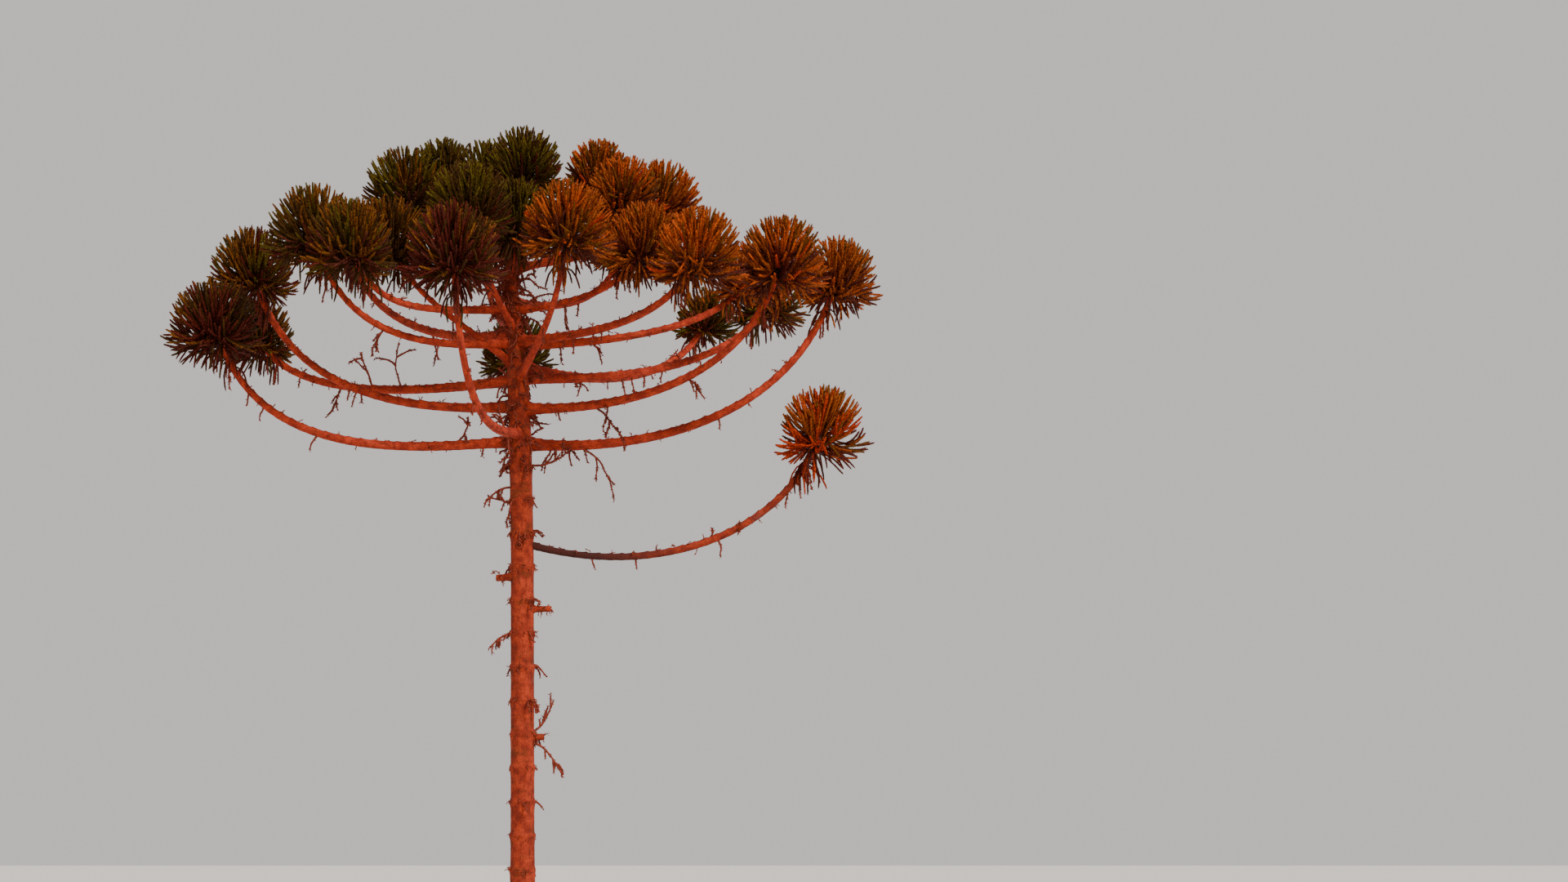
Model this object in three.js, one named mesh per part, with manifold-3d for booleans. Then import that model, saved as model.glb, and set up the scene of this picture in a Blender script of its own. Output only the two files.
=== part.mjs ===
// A parana pine: one tall bare trunk that carries an umbrella of rising boughs, each with a
// tuft of needle sprays at its end. Millimetres, +Z up, +X to the right and +Y to the back.
// The origin is the middle of the flat cut under the trunk, at ground level.
import * as THREE from 'three';
import { mergeVertices } from 'three/addons/utils/BufferGeometryUtils.js';
import Module from 'manifold-3d';

const wasm = await Module();
wasm.setup();

// Clearance between neighbouring solids
const GAP = 0.3;

// Trunk by height: sideways lean of its centre line, and its diameter
const TRUNK = [
  { height: 0, lean: 0, diameter: 520 },
  { height: 4000, lean: -50, diameter: 510 },
  { height: 8100, lean: -100, diameter: 500 },
  { height: 10600, lean: -170, diameter: 490 },
  { height: 12000, lean: -240, diameter: 480 },
  { height: 12900, lean: -290, diameter: 370 },
  { height: 14000, lean: -420, diameter: 340 },
  { height: 15300, lean: -350, diameter: 240 },
  { height: 16300, lean: -170, diameter: 140 },
];
const TRUNK_SIDES = 12;

// Root flare: how far it stands out at the ground, how fast it dies away, and its lobes
const FLARE_REACH = 150;
const FLARE_HEIGHT = 380;
const FLARE_LOBES = 4;
const FLARE_LOBE_DEPTH = 0.35;
const FLARE_ONE_SIDED = 0.15;
const FLARE_HEIGHTS = [0, 150, 320, 560, 900];

// Swollen rings on the bare trunk, where whorls of boughs once grew
const RING_FIRST = 1270;
const RING_STEP = 735;
const RING_COUNT = 13;
const RING_SWELL = 26;
const RING_HALF = 110;

// Heights at which the trunk is sectioned inside the crown
const CROWN_HEIGHTS = [10600, 11300, 12000, 12450, 12900, 13450, 14000, 14650, 15300, 16300];

// Broken stubs on the trunk
const STUBS = [
  { height: 7680, azimuth: 183, length: 340, diameter: 160, rise: -60 },
  { height: 6940, azimuth: 352, length: 410, diameter: 140, rise: 0 },
  { height: 4130, azimuth: 2, length: 230, diameter: 150, rise: 10 },
  { height: 8330, azimuth: 262, length: 60, diameter: 170, rise: 0 },
  { height: 5640, azimuth: 118, length: 180, diameter: 90, rise: 20 },
  { height: 9380, azimuth: 74, length: 240, diameter: 100, rise: -30 },
];
const STUB_ROOT_SHARE = 1.2;
const STUB_END_SHARE = 0.9;

// Dead twigs that hang on the trunk
const DEAD_TWIGS = [
  { height: 6400, azimuth: 187, reach: 480, drop: 320 },
  { height: 4010, azimuth: 350, reach: 640, drop: 660 },
  { height: 4260, azimuth: 12, reach: 440, drop: -680 },
  { height: 9640, azimuth: 176, reach: 520, drop: 300 },
  { height: 10120, azimuth: 342, reach: 940, drop: -360 },
  { height: 7860, azimuth: 95, reach: 540, drop: 420 },
  { height: 5020, azimuth: 66, reach: 500, drop: 260 },
];
const DEAD_TWIG_ROOT_RADIUS = 30;
const DEAD_TWIG_TIP_RADIUS = 15;
const DEAD_TWIG_BEND_AT = 0.8;
const DEAD_TWIG_SIDES = 3;

// Boughs. Each row holds the name; the junction's height on the trunk; the azimuth, in degrees
// from +X towards +Y; the reach out to the middle of the tuft, and that middle's height; the
// sag, how far the inner half hangs below the junction; the bend, how high above the junction
// the outer bend is held; and the tuft's radius.
const BOUGHS = [
  ['lone', 8420, 355, 6650, 10900, 850, -150, 1000],
  ['low_left', 10680, 187, 6750, 13250, 260, -620, 1020],
  ['low_right', 10620, 7, 7110, 14600, 210, 580, 940],
  ['low_front', 10850, 261, 5800, 13900, 300, -700, 1040],
  ['low_back', 11100, 96, 5900, 13700, 0, 300, 900],
  ['second_left', 11450, 171, 6250, 14800, 100, 250, 980],
  ['second_right', 11400, 336, 6400, 14300, 200, 100, 1000],
  ['third_left', 12050, 158, 6800, 13550, 180, -200, 920],
  ['third_right', 12100, 36, 6900, 14600, -100, 800, 880],
  ['third_back', 12400, 54, 6900, 14450, 250, 250, 780],
  ['third_inner', 12300, 202, 3000, 15050, -900, 1500, 1000],
  ['third_front', 12000, 290, 3900, 14850, -600, 1000, 1000],
  ['fourth_left', 12880, 207, 4750, 15050, 250, -450, 1040],
  ['fourth_right', 12900, 316, 5800, 14200, 100, -250, 980],
  ['fourth_far', 12800, 10, 5300, 14600, -150, 450, 840],
  ['fifth_left', 13600, 226, 4600, 14550, 100, -900, 980],
  ['fifth_right', 13600, 325, 3700, 14750, 0, 0, 950],
  ['fifth_front', 13150, 253, 2700, 15500, -500, 1200, 1000],
  ['rear_left', 13100, 134, 6500, 16200, 0, 800, 980],
  ['rear_middle', 13300, 105, 4500, 16300, -200, 900, 1040],
  ['rear_right', 13800, 62, 4900, 16200, -100, 500, 1000],
  ['sixth_left', 14400, 169, 2500, 16500, -200, 600, 1020],
  ['sixth_right', 14600, 21, 3480, 16380, -200, 600, 1000],
  ['sixth_front', 14350, 276, 1350, 15450, -200, 700, 980],
  ['sixth_near', 14500, 345, 2600, 16150, -200, 600, 900],
  ['top_right', 15100, 38, 2270, 17080, -200, 600, 820],
  ['top_left', 15000, 140, 2300, 17000, -200, 600, 950],
  ['top_back', 15600, 130, 1320, 16850, -200, 600, 950],
].map(([name, junction, azimuth, reach, top, sag, bend, tuft]) => (
  { name, junction, azimuth, reach, top, sag, bend, tuft }
));
const SAG_SHARE = 0.38;
const BEND_SHARE = 0.88;
const BOUGH_SIDES = 5;
const BOUGH_STATIONS = 8;

// Bough radius at the trunk, which grows with the reach, its taper, and its collar
const BOUGH_RADIUS = 50;
const BOUGH_RADIUS_PER_REACH = 0.009;
const BOUGH_TIP_SHARE = 0.58;
const COLLAR_SWELL = 0.15;
const COLLAR_LENGTH = 420;

// Boughs that bend round a wide gap are two nodes, parted at this share of the curve
const SPLIT_BOUGHS = { lone: 0.6, low_left: 0.58 };

// The tuft on the trunk's own tip
const TIP_TUFT = { name: 'tip', top: 16900, tuft: 960 };

// Tufts: where the bough ends and the inner core, as shares of the tuft's radius
const ENTRY_SHARE = 0.7;
const CORE_SHARE = 0.6;
const OPEN_CORE_SHARE = 0.3;
const STEM_KNEE_SHARE = 0.3;
const STEM_ABOVE_SHARE = 0.25;
const STEM_TIP_SHARE = 0.45;
const STEM_SIDES = 5;
const OPEN_TUFTS = ['lone'];
const GREEN_TUFTS = ['low_left', 'second_left', 'third_left', 'fourth_left', 'third_inner', 'rear_left',
  'rear_middle', 'sixth_left', 'top_left', 'top_back', 'tip', 'fifth_front', 'sixth_front', 'low_back'];

// Sprays: each is a slim three-sided core, with needles that stand out at its corners
const SPRAYS_PER_METRE = 20.6;
const GOLDEN_ANGLE = 137.508;
const TURN_PER_TUFT = 40;
const TURN_JITTER = 16;
const TOP_ROOT_SHARE = 0.95;
const BOTTOM_ROOT_SHARE = 0.45;
const HIGHEST_SPRAY = 84;
const LOWEST_SPRAY = -58;
const SPRAY_SIDES = 3;
const SPRAY_ROOT_RADIUS = 40;
const SPRAY_RADIUS = 64;
const SPRAY_WIDEST_AT = 0.76;
const NEEDLES = [{ out: 105, forward: 120 }, { out: 80, forward: 30 }, { out: 0, forward: -40 }];
const SKIRT_BELOW = -15;
const SKIRT_REACH = 1.25;
const OUTLINE_RAGGED = 0.08;
const SPRAY_GIRTH = 127;
const SPRAY_CLEARANCE = 12;
const MARK_STEP = 65;

const material = (color, roughness) => new THREE.MeshStandardMaterial({ color, roughness, metalness: 0 });
const bark = () => material('#7a5546', 0.92);
const greenNeedles = () => material('#3c4420', 0.72);
const bronzeNeedles = () => material('#6e5426', 0.72);

// A repeatable source of numbers from 0 to 1
function seeded(seed) {
  let state = seed >>> 0;
  return () => {
    state = (Math.imul(state, 1664525) + 1013904223) >>> 0;
    return state / 4294967296;
  };
}

// A level direction at an azimuth in degrees
function outwards(azimuth) {
  const angle = THREE.MathUtils.degToRad(azimuth);
  return new THREE.Vector3(Math.cos(angle), Math.sin(angle), 0);
}

// A direction at an azimuth and an elevation in degrees
function heading(azimuth, elevation) {
  const rise = THREE.MathUtils.degToRad(elevation);
  return outwards(azimuth).multiplyScalar(Math.cos(rise)).setZ(Math.sin(rise));
}

// Lean or diameter of the trunk at a height
function trunkValue(key, height) {
  const above = Math.max(1, TRUNK.findIndex((row) => row.height >= height));
  const [low, high] = [TRUNK[above - 1], TRUNK[above]];
  return THREE.MathUtils.mapLinear(height, low.height, high.height, low[key], high[key]);
}

function trunkCentre(height) {
  return new THREE.Vector3(trunkValue('lean', height), 0, height);
}

// A closed mesh as a solid
function solidOf(geometry) {
  geometry.deleteAttribute('normal');
  geometry.deleteAttribute('uv');
  const merged = mergeVertices(geometry);
  return new wasm.Manifold(new wasm.Mesh({
    numProp: 3,
    vertProperties: merged.attributes.position.array,
    triVerts: merged.index.array,
  }));
}

// A solid tube through stations. Each has a centre, its direction along the tube, one axis
// across it, and by the angle round it a radius and, where needed, a shift along the tube.
// A pointed tube ends in its last centre.
function tube(stations, sides, pointed = false) {
  const last = stations.length - 1;
  const shape = new THREE.CylinderGeometry(pointed ? 0 : 1, 1, 1, sides, last);
  const places = shape.attributes.position;
  for (let index = 0; index < places.count; index++) {
    const station = stations[Math.round((places.getY(index) + 0.5) * last)];
    const onSkin = Math.hypot(places.getX(index), places.getZ(index)) > 1e-6;
    const angle = Math.atan2(places.getZ(index), places.getX(index));
    const radius = onSkin ? station.radius(angle) : 0;
    const other = station.across.clone().cross(station.along);
    const point = station.centre.clone();
    point.addScaledVector(station.across, radius * Math.cos(angle));
    point.addScaledVector(other, radius * Math.sin(angle));
    if (onSkin && station.shift) point.addScaledVector(station.along, station.shift(angle));
    places.setXYZ(index, point.x, point.y, point.z);
  }
  return solidOf(shape);
}

// Any axis square to a direction
function axisAcross(along) {
  const guide = Math.abs(along.z) < 0.9 ? new THREE.Vector3(0, 0, 1) : new THREE.Vector3(1, 0, 0);
  return guide.cross(along).normalize();
}

// The largest body of a solid, without the scraps of a cut
function largest(solid) {
  return solid.decompose().reduce((best, piece) => (piece.volume() > best.volume() ? piece : best));
}

// Trunk section radius at a height and an angle, with flare and rings
function trunkRadius(height, angle) {
  const lobes = 1 + FLARE_LOBE_DEPTH * Math.cos(FLARE_LOBES * angle) + FLARE_ONE_SIDED * Math.sin(angle);
  const flare = FLARE_REACH * Math.exp(-height / FLARE_HEIGHT) * lobes;
  const ringNumber = Math.round((height - RING_FIRST) / RING_STEP);
  const onBareTrunk = ringNumber >= 0 && ringNumber < RING_COUNT;
  const fromRing = Math.abs(height - RING_FIRST - ringNumber * RING_STEP);
  const swell = onBareTrunk ? RING_SWELL * Math.max(0, 1 - fromRing / RING_HALF) : 0;
  return trunkValue('diameter', height) / 2 + flare + swell;
}

function trunkHeights() {
  const heights = [...FLARE_HEIGHTS];
  for (let ring = 0; ring < RING_COUNT; ring++) {
    const middle = RING_FIRST + ring * RING_STEP;
    heights.push(middle - RING_HALF, middle, middle + RING_HALF);
  }
  return [...heights, ...CROWN_HEIGHTS];
}

// The trunk without stubs, grown by a clearance when it cuts its neighbours
function trunkBody(grow = 0) {
  const stations = trunkHeights().map((height) => ({
    centre: trunkCentre(height),
    along: new THREE.Vector3(0, 0, 1),
    across: new THREE.Vector3(1, 0, 0),
    radius: (angle) => trunkRadius(height, angle) + grow,
  }));
  return tube(stations, TRUNK_SIDES);
}

// A broken stub that starts inside the trunk
function stub({ height, azimuth, length, diameter, rise }) {
  const start = trunkCentre(height);
  const reach = trunkValue('diameter', height) / 2 + length;
  const end = start.clone().addScaledVector(outwards(azimuth), reach).setZ(height + rise);
  const along = end.clone().sub(start).normalize();
  const across = axisAcross(along);
  return tube([
    { centre: start, along, across, radius: () => (diameter / 2) * STUB_ROOT_SHARE },
    { centre: end, along, across, radius: () => (diameter / 2) * STUB_END_SHARE },
  ], BOUGH_SIDES);
}

// A thin dead twig that leaves the trunk level and curls up or down
function deadTwig({ height, azimuth, reach, drop }) {
  const start = trunkCentre(height);
  const out = outwards(azimuth);
  const rootReach = trunkValue('diameter', height) / 2;
  const curve = new THREE.QuadraticBezierCurve3(
    start,
    start.clone().addScaledVector(out, rootReach + reach * DEAD_TWIG_BEND_AT),
    start.clone().addScaledVector(out, rootReach + reach).setZ(height - drop),
  );
  const across = out.clone().cross(new THREE.Vector3(0, 0, 1));
  const stations = [0, 0.4, 0.6, 0.8, 1].map((share) => ({
    centre: curve.getPoint(share),
    along: curve.getTangent(share),
    across,
    radius: () => THREE.MathUtils.lerp(DEAD_TWIG_ROOT_RADIUS, DEAD_TWIG_TIP_RADIUS, share),
  }));
  return tube(stations, DEAD_TWIG_SIDES);
}

// The line that a bough and its tuft's stem follow, out to the middle of the tuft
function boughCurve({ junction, azimuth, reach, top, sag, bend }) {
  const start = trunkCentre(junction);
  const out = outwards(azimuth);
  const place = (share, height) => start.clone().addScaledVector(out, share * reach).setZ(height);
  return new THREE.CubicBezierCurve3(
    start,
    place(SAG_SHARE, junction - sag),
    place(BEND_SHARE, junction + bend),
    place(1, top),
  );
}

// The share of the curve at which a bough enters its tuft
function entryShare(curve, tuft) {
  const middle = curve.getPoint(1);
  let [inside, outside] = [1, 0];
  for (let round = 0; round < 24; round++) {
    const share = (inside + outside) / 2;
    const near = curve.getPoint(share).distanceTo(middle) < ENTRY_SHARE * tuft;
    [inside, outside] = near ? [share, outside] : [inside, share];
  }
  return outside;
}

function boughRadius(bough, share) {
  const root = BOUGH_RADIUS + BOUGH_RADIUS_PER_REACH * bough.reach;
  const collar = COLLAR_SWELL * Math.exp(-(share * bough.reach) / COLLAR_LENGTH);
  return root * (THREE.MathUtils.lerp(1, BOUGH_TIP_SHARE, share) + collar);
}

// Part of a bough between two shares of its curve
function limb(bough, from, to, grow = 0) {
  const across = outwards(bough.azimuth - 90);
  const stations = [];
  for (let step = 0; step < BOUGH_STATIONS; step++) {
    const share = THREE.MathUtils.lerp(from, to, (step / (BOUGH_STATIONS - 1)) ** 1.2);
    const radius = boughRadius(bough, share) + grow;
    stations.push({
      centre: bough.curve.getPoint(share),
      along: bough.curve.getTangent(share),
      across,
      radius: () => radius,
    });
  }
  return tube(stations, BOUGH_SIDES);
}

// Points along every limb, with the radius there, that sprays keep clear of
function limbMarks(boughs) {
  const marks = [];
  for (let height = boughs[0].junction; height <= TRUNK.at(-1).height; height += MARK_STEP) {
    marks.push({ point: trunkCentre(height), radius: trunkRadius(height, 0) });
  }
  for (const bough of boughs) {
    const count = Math.ceil(bough.curve.getLength() / MARK_STEP);
    for (let step = 0; step <= count; step++) {
      const share = (bough.entry * step) / count;
      marks.push({ point: bough.curve.getPoint(share), radius: boughRadius(bough, share) });
    }
  }
  return marks;
}

// The stem of a tuft goes on from its limb's end, 0.3 mm clear, and past the tuft's middle
function stemPath(tuft) {
  const path = new THREE.CurvePath();
  const end = tuft.middle.clone().addScaledVector(tuft.upwards, STEM_ABOVE_SHARE * tuft.radius);
  path.add(new THREE.QuadraticBezierCurve3(tuft.foot, tuft.knee, tuft.middle));
  path.add(new THREE.LineCurve3(tuft.middle, end));
  return path;
}

function stem(tuft, path) {
  const stations = [0, 0.5, 1].map((share) => ({
    centre: path.getPoint(share),
    along: path.getTangent(share),
    across: tuft.across,
    radius: () => tuft.stemRadius * THREE.MathUtils.lerp(1, STEM_TIP_SHARE, share),
  }));
  return tube(stations, STEM_SIDES);
}

// How far a ray runs from a root inside the tuft to the tuft's round outline
function lengthToOutline(root, direction, middle, radius) {
  const offset = root.clone().sub(middle);
  const along = offset.dot(direction);
  return -along + Math.sqrt(Math.max(0, along * along - offset.lengthSq() + radius * radius));
}

// True where a spray stays in its tuft's own space and clear of every limb
function staysClear(tuft, tufts, marks, root, direction, length) {
  for (let reach = 0.3 * length; reach < length + 1; reach += 0.1 * length) {
    const point = root.clone().addScaledVector(direction, reach);
    const own = (point.distanceTo(tuft.middle) + SPRAY_GIRTH) / tuft.radius;
    for (const other of tufts) {
      if (other !== tuft && (point.distanceTo(other.middle) - SPRAY_GIRTH) / other.radius < own) return false;
    }
    for (const mark of marks) {
      if (point.distanceTo(mark.point) < mark.radius + SPRAY_GIRTH + SPRAY_CLEARANCE) return false;
    }
  }
  return true;
}

// A spray: slim core with a pointed end, and corners that are drawn out as needles
function spray(root, direction, length, random) {
  const across = axisAcross(direction).applyAxisAngle(direction, random() * Math.PI);
  const ring = (share, radius, shift) => ({
    centre: root.clone().addScaledVector(direction, share * length),
    along: direction,
    across,
    radius,
    shift,
  });
  const corner = (angle) => Math.round((angle * SPRAY_SIDES) / (2 * Math.PI) + SPRAY_SIDES) % SPRAY_SIDES;
  return tube([
    ring(0, () => SPRAY_ROOT_RADIUS),
    ring(
      SPRAY_WIDEST_AT,
      (angle) => SPRAY_RADIUS + NEEDLES[corner(angle)].out,
      (angle) => NEEDLES[corner(angle)].forward,
    ),
    ring(1, () => 0),
  ], SPRAY_SIDES, true);
}

// The small dense heart of a tuft
function core(tuft) {
  const share = OPEN_TUFTS.includes(tuft.name) ? OPEN_CORE_SHARE : CORE_SHARE;
  const shape = new THREE.IcosahedronGeometry(share * tuft.radius, 0);
  shape.translate(tuft.middle.x, tuft.middle.y, tuft.middle.z);
  return solidOf(shape);
}

// A whole tuft: stem, core and the sprays that fit its space, from upright ones at the top
// of the stem to hanging ones at its foot
function foliage(tuft, number, tufts, marks) {
  const random = seeded(101 + number * 7);
  const path = stemPath(tuft);
  let solid = stem(tuft, path).add(core(tuft));
  const top = Math.sin(THREE.MathUtils.degToRad(HIGHEST_SPRAY));
  const bottom = Math.sin(THREE.MathUtils.degToRad(LOWEST_SPRAY));
  const sprays = Math.round((SPRAYS_PER_METRE * tuft.radius) / 1000);
  for (let count = 0; count < sprays; count++) {
    const share = (count + 0.5) / sprays;
    const elevation = THREE.MathUtils.radToDeg(Math.asin(THREE.MathUtils.lerp(top, bottom, share)));
    const azimuth = count * GOLDEN_ANGLE + number * TURN_PER_TUFT + random() * TURN_JITTER;
    const direction = heading(azimuth, elevation);
    const root = path.getPoint(THREE.MathUtils.lerp(TOP_ROOT_SHARE, BOTTOM_ROOT_SHARE, share));
    const skirt = elevation < SKIRT_BELOW ? SKIRT_REACH : 1;
    const outline = tuft.radius * skirt * (1 - OUTLINE_RAGGED * random());
    const length = lengthToOutline(root, direction, tuft.middle, outline);
    if (!staysClear(tuft, tufts, marks, root, direction, length)) continue;
    solid = solid.add(spray(root, direction, length, random));
  }
  return solid;
}

function meshOf(solid, name, finish) {
  const { vertProperties, triVerts } = solid.getMesh();
  const geometry = new THREE.BufferGeometry();
  geometry.setAttribute('position', new THREE.BufferAttribute(new Float32Array(vertProperties), 3));
  geometry.setIndex(new THREE.BufferAttribute(new Uint32Array(triVerts), 1));
  const mesh = new THREE.Mesh(geometry, finish);
  mesh.name = name;
  return mesh;
}

const tree = new THREE.Group();

// Trunk, with its stubs and dead twigs
const trimmings = [...STUBS.map(stub), ...DEAD_TWIGS.map(deadTwig)];
const trunk = trimmings.reduce((solid, piece) => solid.add(piece), trunkBody());
tree.add(meshOf(trunk, 'trunk', bark()));

// Boughs, each cut clear of the trunk and of the boughs before it
const boughs = BOUGHS.map((row) => {
  const curve = boughCurve(row);
  return { ...row, curve, entry: entryShare(curve, row.tuft) };
});
let taken = trimmings.reduce((solid, piece) => solid.add(piece), trunkBody(GAP));
for (const bough of boughs) {
  const cuts = [0, SPLIT_BOUGHS[bough.name], bough.entry].filter((share) => share !== undefined);
  const endings = cuts.length > 2 ? ['_inner', '_outer'] : [''];
  endings.forEach((ending, part) => {
    const step = part > 0 ? GAP / bough.curve.getLength() : 0;
    const solid = largest(limb(bough, cuts[part] + step, cuts[part + 1]).subtract(taken));
    tree.add(meshOf(solid, `bough_${bough.name}${ending}`, bark()));
  });
  taken = taken.add(limb(bough, 0, bough.entry, GAP));
}

// Tufts, one at the end of each bough and one on the trunk's tip
const tufts = boughs.map((bough) => {
  const foot = bough.curve.getPoint(bough.entry);
  const along = bough.curve.getTangent(bough.entry);
  return {
    name: bough.name,
    radius: bough.tuft,
    middle: bough.curve.getPoint(1),
    foot: foot.clone().addScaledVector(along, GAP),
    knee: foot.clone().addScaledVector(along, STEM_KNEE_SHARE * bough.tuft),
    upwards: bough.curve.getTangent(1),
    across: outwards(bough.azimuth - 90),
    stemRadius: boughRadius(bough, bough.entry),
  };
});
const trunkTip = trunkCentre(TRUNK.at(-1).height);
const up = new THREE.Vector3(0, 0, 1);
tufts.push({
  name: TIP_TUFT.name,
  radius: TIP_TUFT.tuft,
  middle: trunkTip.clone().setZ(TIP_TUFT.top),
  foot: trunkTip.clone().addScaledVector(up, GAP),
  knee: trunkTip.clone().addScaledVector(up, STEM_KNEE_SHARE * TIP_TUFT.tuft),
  upwards: up,
  across: new THREE.Vector3(1, 0, 0),
  stemRadius: TRUNK.at(-1).diameter / 2,
});

const marks = limbMarks(boughs);
tufts.forEach((tuft, number) => {
  const finish = GREEN_TUFTS.includes(tuft.name) ? greenNeedles() : bronzeNeedles();
  tree.add(meshOf(foliage(tuft, number, tufts, marks), `mass_${tuft.name}`, finish));
});

export default tree;
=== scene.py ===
"""A parana pine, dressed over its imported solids: bark with its relief on the trunk and the boughs,
dead twigs, and tufts of needle-clad fingers that grow on from the limbs by the source's own rule.
Metres, +Z up, +X to the right and +Y to the back."""

import math

import bpy
import numpy as np
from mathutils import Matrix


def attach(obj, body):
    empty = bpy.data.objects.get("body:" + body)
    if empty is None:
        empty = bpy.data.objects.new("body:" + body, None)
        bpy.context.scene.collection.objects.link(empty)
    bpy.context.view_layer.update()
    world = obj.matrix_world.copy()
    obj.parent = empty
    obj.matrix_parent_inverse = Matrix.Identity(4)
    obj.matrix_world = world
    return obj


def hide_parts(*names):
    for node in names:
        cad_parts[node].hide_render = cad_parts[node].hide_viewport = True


bl_info = {
    "name": "Parana Pine",
    "version": (1, 0, 0),
    "blender": (4, 5, 0),
    "location": "View3D > Sidebar > Pine",
    "description": "Dresses the solids of a parana pine with bark, twigs and needles",
    "category": "Add Mesh",
}

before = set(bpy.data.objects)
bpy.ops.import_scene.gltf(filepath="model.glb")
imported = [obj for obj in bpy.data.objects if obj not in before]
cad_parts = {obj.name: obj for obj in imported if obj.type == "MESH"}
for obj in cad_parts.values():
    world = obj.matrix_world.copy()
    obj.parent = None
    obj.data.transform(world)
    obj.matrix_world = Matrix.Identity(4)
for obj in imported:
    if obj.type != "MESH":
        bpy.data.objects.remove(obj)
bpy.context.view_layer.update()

UP = np.array([0.0, 0.0, 1.0])

# Trunk by height: sideways lean of its centre line, and its diameter
TRUNK = np.array([
    (0.0, 0.0, 0.52),
    (4.0, -0.05, 0.51),
    (8.1, -0.10, 0.50),
    (10.6, -0.17, 0.49),
    (12.0, -0.24, 0.48),
    (12.9, -0.29, 0.37),
    (14.0, -0.42, 0.34),
    (15.3, -0.35, 0.24),
    (16.3, -0.17, 0.14),
])

# Root flare: how far it stands out at the ground, how fast it dies away, and its lobes
FLARE_REACH = 0.15
FLARE_HEIGHT = 0.38
FLARE_LOBES = 4
FLARE_LOBE_DEPTH = 0.35
FLARE_ONE_SIDED = 0.15

# Swollen rings on the bare trunk, where whorls of boughs once grew: the reach of the swelling above
# and under each, and the scars of its boughs, with the radius at which their width is measured
RING_FIRST = 1.27
RING_STEP = 0.735
RING_COUNT = 13
RING_ABOVE = 0.045
RING_UNDER = 0.13
RING_TILT = 0.012
SCAR_WIDTH = (0.035, 0.06)
SCAR_SHIFT = (-0.03, 0.02)
SCAR_LIP = 0.024
SCAR_PIT = 0.016
SCAR_RADIUS = 0.26

# Broken stubs on the trunk: height, azimuth, length, diameter, rise
STUBS = [
    (7.68, 183, 0.34, 0.16, -0.06),
    (6.94, 352, 0.41, 0.14, 0.0),
    (4.13, 2, 0.23, 0.15, 0.01),
    (5.64, 118, 0.18, 0.09, 0.02),
    (9.38, 74, 0.24, 0.10, -0.03),
]

# A stub's skin: where it starts inside the trunk, the swelling of its root and the reach of that,
# how uneven it is, and its narrowed and splintered end
STUB_START = 0.3
STUB_GIRTH = 0.92
STUB_SWELL = 0.5
STUB_SWELL_REACH = 0.05
STUB_UNEVEN = 0.06
STUB_END = 0.8
STUB_SPLINTERS = 0.035

# The healed knot on the front of the trunk: height, azimuth, width, how far it stands out
KNOT = (8.33, 262, 0.17, 0.07)
KNOT_RADIUS = 0.25
KNOT_TURNS = 16

# Dry bristles at each ring and on each stub of the trunk, the height below which the rings are
# worn, and the share of bristles that is left there
RING_BRISTLES = 60
STUB_BRISTLES = 14
WORN_BELOW = 6.0
WORN_SHARE = 0.35

# Twigs that tangle round the trunk: lowest and highest place, number and longest reach
TANGLES = [
    (10.2, 13.2, 130, 0.52),
    (13.2, 15.2, 120, 0.95),
]

# Long dead twigs that hang on the trunk: height, azimuth, reach, drop
TRUNK_TWIGS = [
    (6.40, 187, 0.48, 0.32),
    (4.01, 350, 0.64, 0.66),
    (4.26, 12, 0.44, -0.68),
    (9.64, 176, 0.52, 0.30),
    (10.12, 342, 0.94, -0.36),
    (7.86, 95, 0.54, 0.42),
    (5.02, 66, 0.50, 0.26),
]

# Long dead twigs on the boughs: bough, distance out from the trunk, elevation, length, forks
BOUGH_TWIGS = [
    ("lone", 4.15, 60, 0.25, 0),
    ("lone", 4.30, -45, 0.35, 0),
    ("lone", 4.70, 75, 0.18, 2),
    ("low_left", 1.40, 115, 0.60, 3),
    ("low_left", 5.60, -60, 0.25, 0),
    ("low_right", 0.55, 25, 0.85, 2),
    ("low_right", 0.65, -65, 0.50, 1),
    ("low_right", 1.15, -18, 1.20, 3),
    ("low_front", 1.30, 70, 0.60, 1),
    ("second_left", 3.70, -60, 0.30, 0),
    ("second_right", 1.70, -14, 1.20, 3),
    ("second_right", 2.20, -75, 0.50, 1),
    ("second_right", 4.10, -28, 0.60, 3),
    ("third_left", 2.95, 78, 0.95, 2),
    ("third_left", 3.70, 74, 0.95, 2),
    ("third_left", 4.50, -70, 0.70, 3),
    ("third_right", 1.10, -5, 0.80, 1),
    ("third_right", 3.00, -85, 0.35, 1),
    ("third_back", 5.40, 70, 0.40, 1),
    ("fourth_left", 3.10, -75, 0.65, 3),
    ("fourth_far", 1.60, -25, 0.55, 1),
    ("fifth_right", 1.50, -75, 0.40, 0),
    ("low_back", 2.60, -60, 0.60, 2),
    ("rear_left", 3.00, -65, 0.55, 1),
    ("rear_right", 2.20, -70, 0.50, 1),
]

# Finer twigs that rise or hang beside the trunk: height, azimuth, elevation, length, forks
TRUNK_SPRIGS = [
    (9.30, 176, 25, 0.55, 3),
    (9.12, 182, -70, 0.50, 1),
    (10.45, 184, -50, 0.55, 2),
    (10.20, 178, -60, 0.40, 2),
    (11.20, 10, -30, 0.45, 1),
    (11.00, 172, 30, 0.50, 2),
    (8.62, 262, -80, 0.22, 2),
    (8.62, 290, -75, 0.20, 2),
]

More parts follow.
